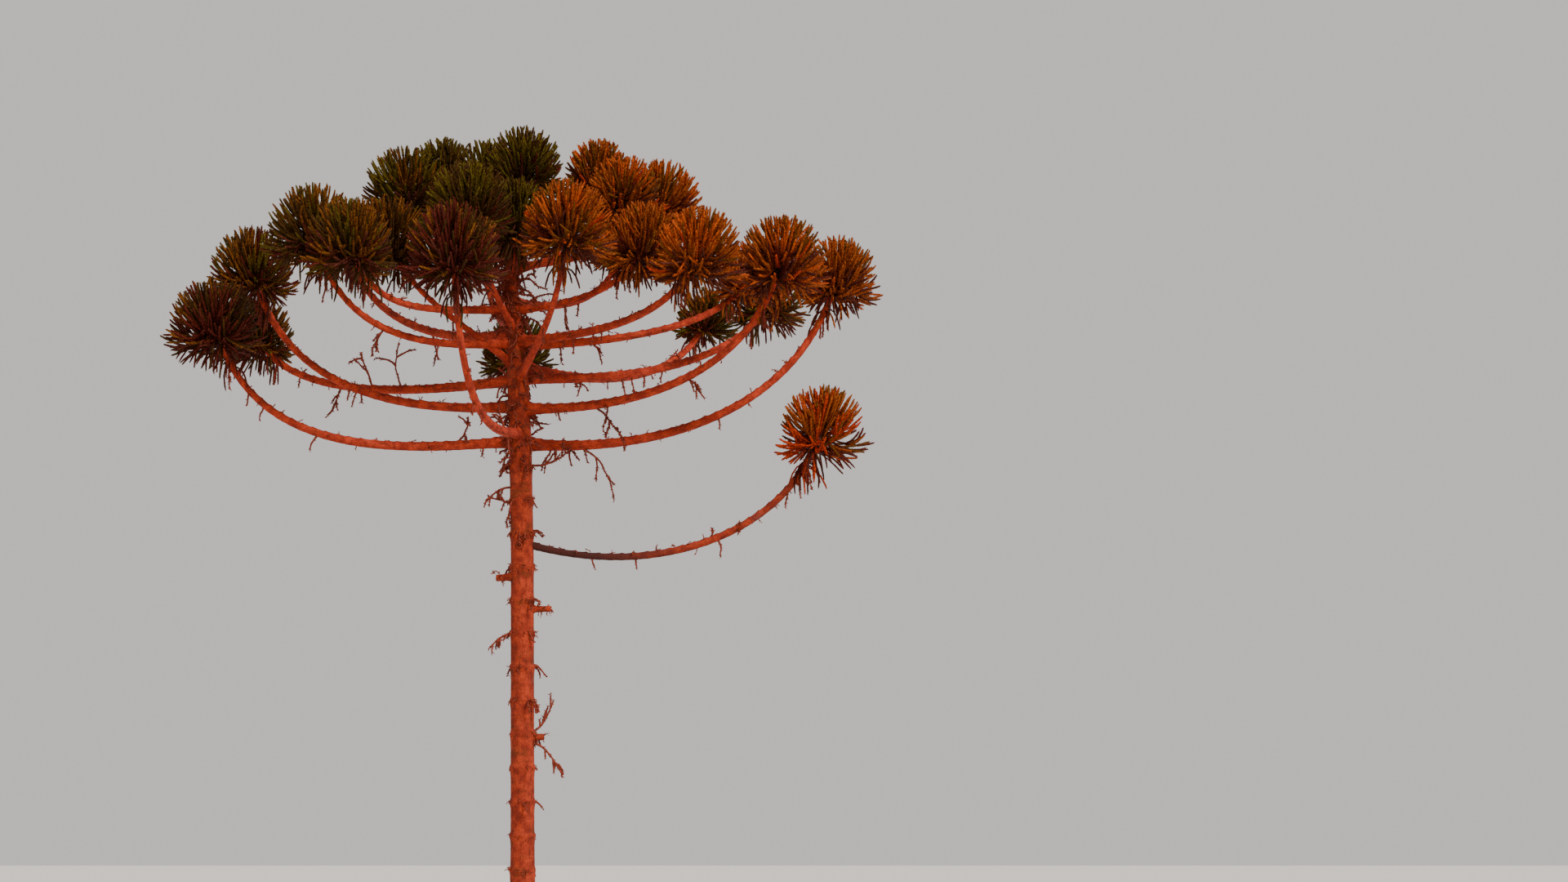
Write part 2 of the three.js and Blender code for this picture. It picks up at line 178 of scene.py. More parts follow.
# Boughs: name, junction, azimuth, reach to the middle of the tuft, that middle's height, sag of
# the inner half, height at which the outer bend is held above the junction, tuft's radius
BOUGHS = [
    ("lone", 8.42, 355, 6.65, 10.90, 0.85, -0.15, 1.00),
    ("low_left", 10.68, 187, 6.75, 13.25, 0.26, -0.62, 1.02),
    ("low_right", 10.62, 7, 7.11, 14.60, 0.21, 0.58, 0.94),
    ("low_front", 10.85, 261, 5.80, 13.90, 0.3, -0.7, 1.04),
    ("low_back", 11.10, 96, 5.90, 13.70, 0.0, 0.3, 0.90),
    ("second_left", 11.45, 171, 6.25, 14.80, 0.1, 0.25, 0.98),
    ("second_right", 11.40, 336, 6.40, 14.30, 0.2, 0.1, 1.00),
    ("third_left", 12.05, 158, 6.80, 13.55, 0.18, -0.2, 0.92),
    ("third_right", 12.10, 36, 6.90, 14.60, -0.1, 0.8, 0.88),
    ("third_back", 12.40, 54, 6.90, 14.45, 0.25, 0.25, 0.78),
    ("third_inner", 12.30, 202, 3.00, 15.05, -0.9, 1.5, 1.00),
    ("third_front", 12.00, 290, 3.90, 14.85, -0.6, 1.0, 1.00),
    ("fourth_left", 12.88, 207, 4.75, 15.05, 0.25, -0.45, 1.04),
    ("fourth_right", 12.90, 316, 5.80, 14.20, 0.1, -0.25, 0.98),
    ("fourth_far", 12.80, 10, 5.30, 14.60, -0.15, 0.45, 0.84),
    ("fifth_left", 13.60, 226, 4.60, 14.55, 0.1, -0.9, 0.98),
    ("fifth_right", 13.60, 325, 3.70, 14.75, 0, 0, 0.95),
    ("fifth_front", 13.15, 253, 2.70, 15.50, -0.5, 1.2, 1.00),
    ("rear_left", 13.10, 134, 6.50, 16.20, 0, 0.8, 0.98),
    ("rear_middle", 13.30, 105, 4.50, 16.30, -0.2, 0.9, 1.04),
    ("rear_right", 13.80, 62, 4.90, 16.20, -0.1, 0.5, 1.00),
    ("sixth_left", 14.40, 169, 2.50, 16.50, -0.2, 0.6, 1.02),
    ("sixth_right", 14.60, 21, 3.48, 16.38, -0.2, 0.6, 1.00),
    ("sixth_front", 14.35, 276, 1.35, 15.45, -0.2, 0.7, 0.98),
    ("sixth_near", 14.50, 345, 2.60, 16.15, -0.2, 0.6, 0.90),
    ("top_right", 15.10, 38, 2.27, 17.08, -0.2, 0.6, 0.82),
    ("top_left", 15.00, 140, 2.30, 17.00, -0.2, 0.6, 0.95),
    ("top_back", 15.60, 130, 1.32, 16.85, -0.2, 0.6, 0.95),
]

# The first bough of the upper piece, and the curve, radius and collar of every bough
FIRST_UPPER_BOUGH = 12
SAG_SHARE = 0.38
BEND_SHARE = 0.88
BOUGH_RADIUS = 0.050
BOUGH_RADIUS_PER_REACH = 0.009
BOUGH_TIP_SHARE = 0.58
COLLAR_SWELL = 0.15
COLLAR_LENGTH = 0.42
SPLIT_BOUGHS = ("lone", "low_left")

# The bough that is slimmer near the trunk, by what share, and how far out that reaches
SLIM_ROOT = {"lone": 0.34}
SLIM_REACH = 3.4

# A bough's skin: where it starts inside the trunk, how its rows crowd there, how many of them come to
# one row of its stem, and how far and how fast its girth swings
BOUGH_START = 0.02
ROW_CROWDING = 1.15
ROWS_PER_STEM_ROW = 8
GIRTH_SWING = 0.012
GIRTH_PACE = 0.9

# Growth bumps along a bough: their step, its shift from bough to bough, how far and how fast it
# varies, the share of the step at which each bump ends, how far they stand out under it and over it,
# the length over which they fade at its end, and what is left of them there
BUMP_STEP = 0.27
BUMP_SHIFT = 0.11
BUMP_UNEVEN = 0.06
BUMP_PACE = 1.7
BUMP_END = 0.88
BUMP_UNDER = 0.030
BUMP_OVER = 0.008
BUMP_FADE = 1.2
BUMP_LEAST = 0.15

# The saddle where a bough leaves the trunk: its depth, its start and its reach
SADDLE_DEPTH = 0.30
SADDLE_START = 0.12
SADDLE_REACH = 0.22

# The tuft on the trunk's tip
TIP_TUFT_HEIGHT = 16.90
TIP_TUFT_RADIUS = 0.96

# Tufts, as shares of the tuft's radius
ENTRY_SHARE = 0.7
STEM_KNEE_SHARE = 0.3
STEM_ABOVE_SHARE = 0.25
STEM_TIP_SHARE = 0.45

# Sprays of a tuft, from upright ones at the top of its stem to hanging ones at its foot
SPRAYS_PER_METRE = 20.6
GOLDEN_ANGLE = 137.508
TURN_PER_TUFT = 40
TURN_JITTER = 16
TOP_ROOT_SHARE = 0.95
BOTTOM_ROOT_SHARE = 0.45
HIGHEST_SPRAY = 84
LOWEST_SPRAY = -58
SKIRT_BELOW = -15
SKIRT_REACH = 1.25
OUTLINE_RAGGED = 0.08
SPRAY_GIRTH = 0.127
SPRAY_CLEARANCE = 0.012
SPRAY_SAMPLES = np.arange(0.3, 1.001, 0.1)
MARK_STEP = 0.065

# Which needle colours a tuft's sprays are dealt, by how often each one comes: the bronze and copper deals
# of the tufts at the right stand partly for painted sunlight, and the darker greens of the tufts at the
# left partly for painted shade
TUFTS_OF_DEAL = {
    "green": ("rear_middle", "top_left", "top_back", "sixth_front", "tip", "low_back", "fifth_front"),
    "dusky": ("second_left", "third_left", "third_inner", "rear_left"),
    "olive": ("sixth_left", "fourth_left", "fifth_left", "third_right", "third_back"),
    "red": ("low_front", "low_left"),
    "copper": ("lone",),
}
OTHER_DEAL = "bronze"
DEALS = {
    "green": {"green": 7, "dark_green": 4},
    "dusky": {"dark_green": 5, "green": 2, "olive": 4, "dark_red": 1},
    "olive": {"green": 3, "dark_green": 3, "olive": 5},
    "red": {"dark_green": 4, "dark_red": 5, "olive": 2},
    "copper": {"copper": 6, "brown": 4, "olive": 2},
    "bronze": {"brown": 6, "bronze": 4, "copper": 1, "olive": 2},
}
# The hanging and lower fingers take darker colours: dry needles, and painted shade on the underside of
# each tuft
HANGING_DEALS = {
    "green": {"dark_green": 6, "dark_red": 3, "dead": 2},
    "dusky": {"dark_green": 5, "dark_red": 4, "dead": 2},
    "olive": {"dark_green": 4, "dark_red": 3, "dead": 3},
    "red": {"dark_red": 7, "dark_green": 2, "dead": 2},
    "copper": {"copper": 4, "dead": 3, "dark_red": 4},
    "bronze": {"dead": 4, "dark_red": 2, "brown": 5},
}

# All the needle colours, and how often a finger takes its spray's own one
SHADES = ("dark_green", "green", "olive", "brown", "bronze", "copper", "dark_red", "dead")
SPRAY_SHARE_OF_DEAL = 0.7

# Tufts that show the sky between their sprays, the share of the fingers that they have at their
# foot, at their sides and at their top, and how narrow their sprays are
OPEN_TUFTS = ("lone",)
OPEN_SHARES = (0.6, 0.62, 1.0)
OPEN_FAN_SHARE = 0.66

# Dry fingers at the foot of a tuft: their number, where they leave the bough on each side of its
# entry, their reach as shares of the tuft's radius, and how far they spread
DROOPING_FINGERS = 11
DROOP_START = (-0.03, 0.06)
DROOP_REACH = (0.36, 0.72)
DROOP_SPREAD = (0.2, 1.1)
DROOP_CLAD_FROM = 0.15

# Fingers that a spray forks into: points on each, those at its root that need no space, the fewest
# that make one, the space it needs, how far short of the outline its line ends, and the shortest one
FINGER_POINTS = 8
ROOT_POINTS = 3
FEWEST_POINTS = 5
FINGER_GIRTH = 0.03
FINGER_END = 0.035
SHORTEST_FINGER = 0.28
MOST_FINGERS_A_PIECE = 1300

# Where fingers fork off: one in so many from the spray's main finger and the rest from the stem,
# between these shares of it
MAIN_FORKS = 3
MAIN_FORK_SHARES = (0.15, 0.55)
STEM_FORK_SHARES = (0.2, 0.95)

# A finger's sag below its chord by its elevation, as a share of its length, how much that varies,
# its sway to the side, and how far and how strongly it leaves along its twig
SAG = ((-60, -42, -30, 0, 30, 60, 90), (-0.40, -0.1, 0.2, 0.50, 0.44, 0.24, 0))
SAG_VARIES = 0.08
SWAY = 0.10
LEAVES_FOR = 0.45
LEAVES_BY = 0.25
FAN_VARIES = 0.6

# The elevation below which a finger hangs, and below which a share of them takes the darker hanging
# colours: dry needles, and painted shade on the lower side of the tuft
HANGS_BELOW = -40
DRY_AND_SHADED_BELOW = 10
DRY_AND_SHADED_SHARE = 0.4

# The steps of a finger's needle-clad part, where it starts by whether it hangs, and how the radius of
# its core, the size of its needles and their lean run along it: places, and values there
CLAD_STEPS = (0.0, 0.3, 0.6, 0.88, 1.0)
CLAD_FROM = {True: 0.34, False: 0.26}
HANGING_COAT = (
    ((0, 0.3, 0.88, 1), (0.50, 0.80, 0.85, 0.55)),
    ((0, 0.3, 0.88, 1), (0.60, 0.85, 0.85, 0.50)),
    ((0, 0.7, 1), (0.55, 0.52, 0.48)),
)
RISING_COAT = (
    ((0, 0.3, 0.88, 1), (0.6, 0.95, 1.0, 0.65)),
    ((0, 0.3, 0.88, 1), (0.8, 1.0, 1.0, 0.5)),
    ((0, 0.5, 1), (0.72, 0.68, 0.66)),
)

# Radius of a finger's bare twig, at its root and where its needles start
BARE_RADIUS = (0.015, 0.022)

# A needle: where it starts as a share of the radius of the finger's core, how deep its keel is as a
# share of its width, and how far along it is widest
NEEDLE_START = 0.45
NEEDLE_KEEL = 0.3
NEEDLE_WIDEST = 0.32

# How strongly a dead twig droops, how often a long one grows among the short bristles, and how
# often those of a bough are on top
DROOP_STRENGTH = 2.2
LONG_AMONG_SHORT = 0.07
ON_TOP = 0.72

# Scaled twigs, piece by piece: radius at the root and at the end, length of a scale, and the spacing
SCALED_TWIGS = {
    "dead_twigs": (0.026, 0.016, 0.062, 0.0135),
    "dry_frizz": (0.011, 0.006, 0.036, 0.0100),
}

# Dry scales on the dead twigs: their width as a share of their length, where they start inside the
# twig, their lean, and how much they swell and shrink from point to point
SCALE_WIDTH = 0.62
SCALE_START = 0.004
SCALE_LEAN = 40
BEADING = 0.35

# The main light: how wide it looks, its tint, its tilt and its turn, and half the floor's side
LIGHT_WIDTH = 18
LIGHT_TINT = (1.0, 0.93, 0.86)
LIGHT_TILT = 52
LIGHT_TURN = 38
FLOOR_HALF = 260.0


def lerp(start, end, share):
    return start + (end - start) * share


def unit(vector):
    return vector / np.linalg.norm(vector)


def seeded(seed):
    """A repeatable source of numbers from 0 to 1, the same one as the source's."""
    state = seed

    def step():
        nonlocal state
        state = (state * 1664525 + 1013904223) % 4294967296
        return state / 4294967296

    return step


def outwards(azimuth):
    """A level direction at an azimuth in degrees."""
    angle = math.radians(azimuth)
    return np.array([math.cos(angle), math.sin(angle), 0.0])


def heading(azimuth, elevation):
    """A direction at an azimuth and an elevation in degrees."""
    rise = math.radians(elevation)
    return outwards(azimuth) * math.cos(rise) + UP * math.sin(rise)


def elevation_of(direction):
    return math.degrees(math.asin(max(-1.0, min(1.0, direction[2]))))


def trunk_centre(height):
    return np.array([np.interp(height, TRUNK[:, 0], TRUNK[:, 1]), 0.0, height])


def trunk_radius(height, angle):
    """Trunk section radius at heights and angles, with the root flare and no rings."""
    lobes = 1 + FLARE_LOBE_DEPTH * np.cos(FLARE_LOBES * angle) + FLARE_ONE_SIDED * np.sin(angle)
    flare = FLARE_REACH * np.exp(-height / FLARE_HEIGHT) * lobes
    return np.interp(height, TRUNK[:, 0], TRUNK[:, 2]) / 2 + flare


def bezier(points, share):
    """A point of a curve with three or four control points."""
    if len(points) == 1:
        return points[0]
    return lerp(bezier(points[:-1], share), bezier(points[1:], share), share)


class Bough:
    """One tapering limb, on a curve from the trunk's centre line to the middle of its tuft."""

    def __init__(self, name, junction, azimuth, reach, top, sag, bend, tuft):
        self.name = name
        self.azimuth = azimuth
        self.reach = reach
        self.tuft_radius = tuft
        start = trunk_centre(junction)
        out = outwards(azimuth)
        self.points = [
            start,
            start + out * SAG_SHARE * reach - UP * sag,
            start + out * BEND_SHARE * reach + UP * bend,
            start + out * reach + UP * (top - junction),
        ]
        self.entry = self.entry_share()

    def at(self, share):
        return bezier(self.points, share)

    def along(self, share):
        return unit(self.at(share + 0.001) - self.at(share - 0.001))

    def share_at(self, out):
        """The share of the curve at a level distance out from the trunk's centre line."""
        shares = np.linspace(0, 1, 100)
        level = [(self.at(share) - self.points[0]) @ outwards(self.azimuth) for share in shares]
        return float(np.interp(out, level, shares))

    def entry_share(self):
        """The share of the curve at which the bough enters its tuft."""
        inside, outside = 1.0, 0.0
        for _ in range(24):
            share = (inside + outside) / 2
            if np.linalg.norm(self.at(share) - self.at(1)) < ENTRY_SHARE * self.tuft_radius:
                inside = share
            else:
                outside = share
        return outside

    def radius(self, share):
        root = BOUGH_RADIUS + BOUGH_RADIUS_PER_REACH * self.reach
        collar = COLLAR_SWELL * math.exp(-share * self.reach / COLLAR_LENGTH)
        return root * (lerp(1, BOUGH_TIP_SHARE, share) + collar)


class Tuft:
    """A tuft's space and the stem that goes on into it from the limb's end."""

    def __init__(self, name, radius, middle, foot, along, upwards, stem_radius):
        self.name = name
        self.radius = radius
        self.middle = middle
        self.stem_radius = stem_radius
        knee = foot + along * STEM_KNEE_SHARE * radius
        bend = [bezier([foot, knee, middle], share) for share in np.linspace(0, 1, 40)]
        rise = [middle + upwards * STEM_ABOVE_SHARE * radius]
        self.path = np.array(bend + rise)
        steps = np.linalg.norm(np.diff(self.path, axis=0), axis=1)
        self.shares = np.concatenate([[0], np.cumsum(steps)]) / steps.sum()

    def stem_point(self, share):
        return np.array([np.interp(share, self.shares, self.path[:, axis]) for axis in range(3)])

    def deal(self):
        """The name of the deal that this tuft's colours are drawn from."""
        return next((deal for deal, names in TUFTS_OF_DEAL.items() if self.name in names), OTHER_DEAL)


def all_boughs():
    return [Bough(*row) for row in BOUGHS]


def all_tufts(boughs):
    """One tuft at the end of each bough and one on the trunk's tip."""
    tufts = []
    for bough in boughs:
        foot = bough.at(bough.entry)
        tufts.append(Tuft(bough.name, bough.tuft_radius, bough.at(1), foot, bough.along(bough.entry),
                          bough.along(1), bough.radius(bough.entry)))
    tip = trunk_centre(TRUNK[-1, 0])
    middle = np.array([tip[0], tip[1], TIP_TUFT_HEIGHT])
    tufts.append(Tuft("tip", TIP_TUFT_RADIUS, middle, tip, UP, UP, TRUNK[-1, 2] / 2))
    return tufts


def limb_marks(boughs):
    """Points along every limb, with the radius there, that sprays keep clear of."""
    points, radii = [], []
    for height in np.arange(BOUGHS[0][1], TRUNK[-1, 0] + 1e-6, MARK_STEP):
        points.append(trunk_centre(height))
        radii.append(float(trunk_radius(height, 0.0)))
    for bough in boughs:
        curve = np.array([bough.at(share) for share in np.linspace(0, 1, 200)])
        length = np.linalg.norm(np.diff(curve, axis=0), axis=1).sum()
        count = math.ceil(length / MARK_STEP)
        for step in range(count + 1):
            share = bough.entry * step / count
            points.append(bough.at(share))
            radii.append(bough.radius(share))
    return np.array(points), np.array(radii)


def length_to_outline(root, direction, middle, radius):
    """How far a ray runs from a root inside the tuft to the tuft's round outline."""
    offset = root - middle
    along = offset @ direction
    return -along + math.sqrt(max(0, along * along - offset @ offset + radius * radius))


def clear_length(tuft, tufts, marks, samples, girth):
    """How many of the samples along a spray stay in the tuft's own space and clear of the limbs."""
    points, radii = marks
    own = (np.linalg.norm(samples - tuft.middle, axis=1) + girth) / tuft.radius
    for number, point in enumerate(samples):
        for other in tufts:
            if other is tuft:
                continue
            if (np.linalg.norm(point - other.middle) - girth) / other.radius < own[number]:
                return number
        if np.any(np.linalg.norm(points - point, axis=1) < radii + girth + SPRAY_CLEARANCE):
            return number
    return len(samples)


def near_tufts(tuft, tufts):
    """The tufts whose space can meet this one's."""
    reach = SKIRT_REACH * 2
    return [other for other in tufts
            if np.linalg.norm(other.middle - tuft.middle) < reach * (other.radius + tuft.radius)]


def near_marks(tuft, marks):
    points, radii = marks
    close = np.linalg.norm(points - tuft.middle, axis=1) < tuft.radius * SKIRT_REACH + 0.5
    return points[close], radii[close]


def sprays(tuft, number, tufts, marks):
    """The sprays of a tuft by the source's rule: share of the stem, root, direction and length.
    Those that have no room as one solid are kept too, for the thinner fingers that fit there. The
    source draws once more for each one that has room, and so does this."""
    random = seeded(101 + number * 7)
    top = math.sin(math.radians(HIGHEST_SPRAY))
    bottom = math.sin(math.radians(LOWEST_SPRAY))
    count = int(SPRAYS_PER_METRE * tuft.radius + 0.5)
    made = []
    for step in range(count):
        share = (step + 0.5) / count
        elevation = math.degrees(math.asin(lerp(top, bottom, share)))
        azimuth = step * GOLDEN_ANGLE + number * TURN_PER_TUFT + random() * TURN_JITTER
        direction = heading(azimuth, elevation)
        stem_share = lerp(TOP_ROOT_SHARE, BOTTOM_ROOT_SHARE, share)
        root = tuft.stem_point(stem_share)
        skirt = SKIRT_REACH if elevation < SKIRT_BELOW else 1
        outline = tuft.radius * skirt * (1 - OUTLINE_RAGGED * random())
        length = length_to_outline(root, direction, tuft.middle, outline)
        samples = root + direction * (length * SPRAY_SAMPLES)[:, None]
        if clear_length(tuft, tufts, marks, samples, SPRAY_GIRTH) == len(samples):
            random()
        made.append((stem_share, root, direction, length))
    return made


# Fingers of a spray


class Finger:
    """One needle-clad finger on a curve, with the shape of its needles and its colour."""

    def __init__(self, path, colour, hangs, clad_from):
        self.path = path
        self.colour = colour
        self.hangs = hangs
        self.clad_from = clad_from


def across_of(direction):
    guide = UP if abs(direction[2]) < 0.9 else np.array([1.0, 0.0, 0.0])
    return unit(np.cross(guide, direction))


def swung(direction, spread, turn):
    """A direction swung away from another one by spread, towards turn, in degrees."""
    side = across_of(direction)
    over = np.cross(direction, side)
    angle = math.radians(turn)
    tilt = math.radians(spread)
    return direction * math.cos(tilt) + (side * math.cos(angle) + over * math.sin(angle)) * math.sin(tilt)


def dealt(deal, number):
    """The colour that a number from 0 to 1 draws from a deal."""
    left = number * sum(deal.values())
    for name, often in deal.items():
        left -= often
        if left <= 0:
            return name
    return name


def curved(bend):
    """The points of a finger on a curve with three control points."""
    return np.array([bezier(bend, share) for share in np.linspace(0, 1, FINGER_POINTS)])


def finger_bend(start, leaving, tip, sag, sway):
    """The control points of a finger that leaves its twig along it, and bends out to its tip."""
    length = np.linalg.norm(tip - start)
    aside = across_of(unit(tip - start))
    middle = (start + tip) / 2 + (aside * sway - UP * sag) * length
    return [start, lerp(middle, start + leaving * length * LEAVES_FOR, LEAVES_BY), tip]


def fingers_of(tuft, tufts, marks, spray, random, looks):
    """The fingers that a spray forks into, fanned out evenly round its own direction."""
    stem_share, root, direction, length = spray
    deal, hanging_deal = DEALS[tuft.deal()], HANGING_DEALS[tuft.deal()]
    spray_draw = random()
    middle_way = unit(root + direction * length - tuft.middle)
    count = looks.fingers
    fan = looks.fan
    if tuft.name in OPEN_TUFTS:
        count = round(count * np.interp(elevation_of(middle_way), [-60, 0, 60], OPEN_SHARES))
        fan *= OPEN_FAN_SHARE
    main = None
    fingers = []
    for number in range(count):
        spread = fan * math.sqrt((number + FAN_VARIES * random()) / count)
        way = swung(middle_way, math.degrees(spread), number * GOLDEN_ANGLE + 360 * spray_draw)
        rise = elevation_of(way)
        hangs = rise < HANGS_BELOW
        reach = tuft.radius * (SKIRT_REACH if rise < SKIRT_BELOW else 1)
        ragged = looks.hanging_ragged if hangs else looks.ragged
        tip = tuft.middle + way * (reach * (1 - ragged * random() ** 1.5) - FINGER_END)
        sag = float(np.interp(rise, *SAG)) + lerp(-SAG_VARIES, SAG_VARIES, random())
        sway = lerp(-SWAY, SWAY, random())
        if main is None:
            fork_share = 0.0
            bend = main = finger_bend(root, direction, tip, sag, sway)
        elif number % MAIN_FORKS > 0:
            fork_share = 0.0
            fork = tuft.stem_point(stem_share * lerp(*STEM_FORK_SHARES, random()))
            bend = finger_bend(fork, unit(tip - fork), tip, sag, sway)
        else:
            fork_share = lerp(*MAIN_FORK_SHARES, random())
            bend = finger_bend(bezier(main, fork_share), unit(main[1] - main[0]), tip, sag, sway)
        path = curved(bend)
        path = path[:ROOT_POINTS + clear_length(tuft, tufts, marks, path[ROOT_POINTS:], FINGER_GIRTH)]
        draw = spray_draw if random() < SPRAY_SHARE_OF_DEAL else random()
        missing = random() < (looks.hanging_missing if hangs else 0.0)
        if missing or len(path) < FEWEST_POINTS or np.linalg.norm(path[-1] - path[0]) < SHORTEST_FINGER:
            continue
        # Lower fingers take the darker hanging colours: dry needles, and painted shade under the tuft
        dry_and_shaded = hangs or (rise < DRY_AND_SHADED_BELOW and random() < DRY_AND_SHADED_SHARE)
        colour = dealt(hanging_deal if dry_and_shaded else deal, draw)
        fingers.append(Finger(path, colour, hangs, max(0.0, CLAD_FROM[hangs] - 0.5 * fork_share)))
    return fingers


def drooping_fingers(tuft, bough, random):
    """The dry fingers that leave a bough at the foot of its tuft, and curve down."""
    fingers = []
    count = DROOPING_FINGERS * (2 if tuft.name in OPEN_TUFTS else 1)
    for number in range(count):
        start = bough.at(bough.entry - lerp(*DROOP_START, random()))
        side = outwards(bough.azimuth + number * GOLDEN_ANGLE)
        reach = lerp(*DROOP_REACH, random()) * tuft.radius
        tip = start + unit(side * lerp(*DROOP_SPREAD, random()) - UP) * reach
        path = curved([start, start + side * reach * 0.5 + UP * reach * 0.05, tip])
        # Their colours come from the darker hanging deal: dry needles, and painted shade under the tuft
        colour = dealt(HANGING_DEALS[tuft.deal()], random())
        fingers.append(Finger(path, colour, True, DROOP_CLAD_FROM))
    return fingers


def all_fingers(looks):
    """Every finger of the crown, tuft by tuft."""
    boughs = all_boughs()
    tufts = all_tufts(boughs)
    marks = limb_marks(boughs)
    fingers = []
    for number, tuft in enumerate(tufts):
        random = seeded(7001 + number * 31)
        others = near_tufts(tuft, tufts)
        close = near_marks(tuft, marks)
        for spray in sprays(tuft, number, tufts, close):
            found = fingers_of(tuft, others, close, spray, random, looks)
            fingers += [(tuft.name, finger) for finger in found]
        if number < len(boughs):
            fingers += [(tuft.name, finger) for finger in drooping_fingers(tuft, boughs[number], random)]
    return fingers


# Meshes

BARK_PLACE = "bark_place"
BARK_APART = 23.0


def mesh_object(name, mesh):
    made = bpy.data.objects.new(name, mesh)
    bpy.context.scene.collection.objects.link(made)
    return made


def skin(centres, across, radii):
    """A closed tube with one ring of points for each row of radii: its points, its faces, and each
    point's place on the limb laid out straight, which its bark follows."""
    rows, sides = radii.shape
    along = np.gradient(centres, axis=0)
    along /= np.linalg.norm(along, axis=1)[:, None]
    across = across - along * np.sum(across * along, axis=1)[:, None]
    across /= np.linalg.norm(across, axis=1)[:, None]
    over = np.cross(along, across)
    angles = np.arange(sides) * 2 * math.pi / sides
    ring = (across[:, None, :] * np.cos(angles)[None, :, None]
            + over[:, None, :] * np.sin(angles)[None, :, None])
    points = (centres[:, None, :] + ring * radii[:, :, None]).reshape(-1, 3)
    first = np.arange((rows - 1) * sides)
    beside = first - first % sides + (first + 1) % sides
    faces = np.stack([first, beside, beside + sides, first + sides], axis=1).tolist()
    faces.append(list(range(sides))[::-1])
    faces.append(list(range((rows - 1) * sides, rows * sides)))
    steps = np.linalg.norm(np.diff(centres, axis=0), axis=1)
    travelled = np.concatenate([[0], np.cumsum(steps)])
    places = np.stack([radii * np.cos(angles), radii * np.sin(angles),
                       np.repeat(travelled[:, None], sides, axis=1)], axis=2).reshape(-1, 3)
    return points, faces, places


def joined_skins(name, skins):
    """Several tubes as one object. The bark of each starts at a place of its own."""
    points, faces, places, start = [], [], [], 0
    for number, (skin_points, skin_faces, skin_places) in enumerate(skins):
        points.append(skin_points)
        places.append(skin_places + UP * BARK_APART * number)
        faces += [[corner + start for corner in face] for face in skin_faces]
        start += len(skin_points)
    mesh = bpy.data.meshes.new(name)
    mesh.from_pydata(np.concatenate(points).tolist(), [], faces)
    layer = mesh.attributes.new(BARK_PLACE, "FLOAT_VECTOR", "POINT")
    layer.data.foreach_set("vector", np.concatenate(places).astype(np.float32).ravel())
    return mesh_object(name, mesh)


def strands(name, paths, **values):
    """A mesh of open lines with numbers on their points, that a node tree grows into tubes or
    clads with needles."""
    points = np.concatenate(paths)
    edges, start = [], 0
    for path in paths:
        edges += [(start + step, start + step + 1) for step in range(len(path) - 1)]
        start += len(path)
    mesh = bpy.data.meshes.new(name)
    mesh.from_pydata(points.tolist(), edges, [])
    for value_name, numbers in values.items():
        layer = mesh.attributes.new(value_name, "FLOAT", "POINT")
        layer.data.foreach_set("value", np.concatenate(numbers))
    return mesh_object(name, mesh)


# Node trees


class Socket:
    """An output socket that takes part in sums."""

    def __init__(self, tree, socket):
        self.tree = tree
        self.socket = socket

    def out(self, name):
        """Another output of the same node."""
        return Socket(self.tree, self.socket.node.outputs[name])

    def math(self, operation, first, second=None):
        values = {0: first} if second is None else {0: first, 1: second}
        return node(self.tree, "ShaderNodeMath", {"operation": operation}, values)

    def __add__(self, other):
        return self.math("ADD", self, other)

    __radd__ = __add__

    def __sub__(self, other):
        return self.math("SUBTRACT", self, other)

    def __rsub__(self, other):
        return self.math("SUBTRACT", other, self)

    def __mul__(self, other):
        return self.math("MULTIPLY", self, other)

    __rmul__ = __mul__

    def __gt__(self, other):
        return self.math("GREATER_THAN", self, other)


def node(tree, kind, settings=None, values=None):
    """Adds a node: first its settings, then the values or links of its sockets. A list links
    several into one socket."""
    made = tree.nodes.new(kind)
    for name, setting in (settings or {}).items():
        setattr(made, name, setting)
    for name, value in (values or {}).items():
        for one in value if isinstance(value, list) else [value]:
            if isinstance(one, Socket):
                tree.links.new(one.socket, made.inputs[name])
            else:
                made.inputs[name].default_value = one
    return Socket(tree, made.outputs[0]) if made.outputs else made


def geometry_tree(name, inputs):
    """A geometry tree with named inputs, and its input node."""
    tree = bpy.data.node_groups.new(name, "GeometryNodeTree")
    tree.interface.new_socket("Geometry", in_out="OUTPUT", socket_type="NodeSocketGeometry")
    for input_name, socket_type in {"Geometry": "NodeSocketGeometry", **inputs}.items():
        tree.interface.new_socket(input_name, in_out="INPUT", socket_type=socket_type)
    return tree, node(tree, "NodeGroupInput")


def finish_tree(tree, shape, material):
    """Ends a geometry tree with real geometry and its material."""
    real = node(tree, "GeometryNodeRealizeInstances", {}, {"Geometry": shape})
    coated = node(tree, "GeometryNodeSetMaterial", {}, {"Geometry": real, "Material": material})
    node(tree, "NodeGroupOutput", {}, {"Geometry": coated})
    return tree


def named_value(tree, name):
    return node(tree, "GeometryNodeInputNamedAttribute", {"data_type": "FLOAT"}, {"Name": name})


def random_value(tree, low, high, seed):
    """A number for each point, between low and high."""
    drawn = node(tree, "FunctionNodeRandomValue", {"data_type": "FLOAT"}, {2: low, 3: high, "Seed": seed})
    return drawn.out(1)


def turned(tree, rotation, axis, angle):
    """A rotation turned further about one of its own axes."""
    turn = node(tree, "FunctionNodeAxisAngleToRotation", {}, {"Axis": axis, "Angle": angle})
    return node(tree, "FunctionNodeRotateRotation", {"rotation_space": "LOCAL"},
                {"Rotation": rotation, "Rotate By": turn})


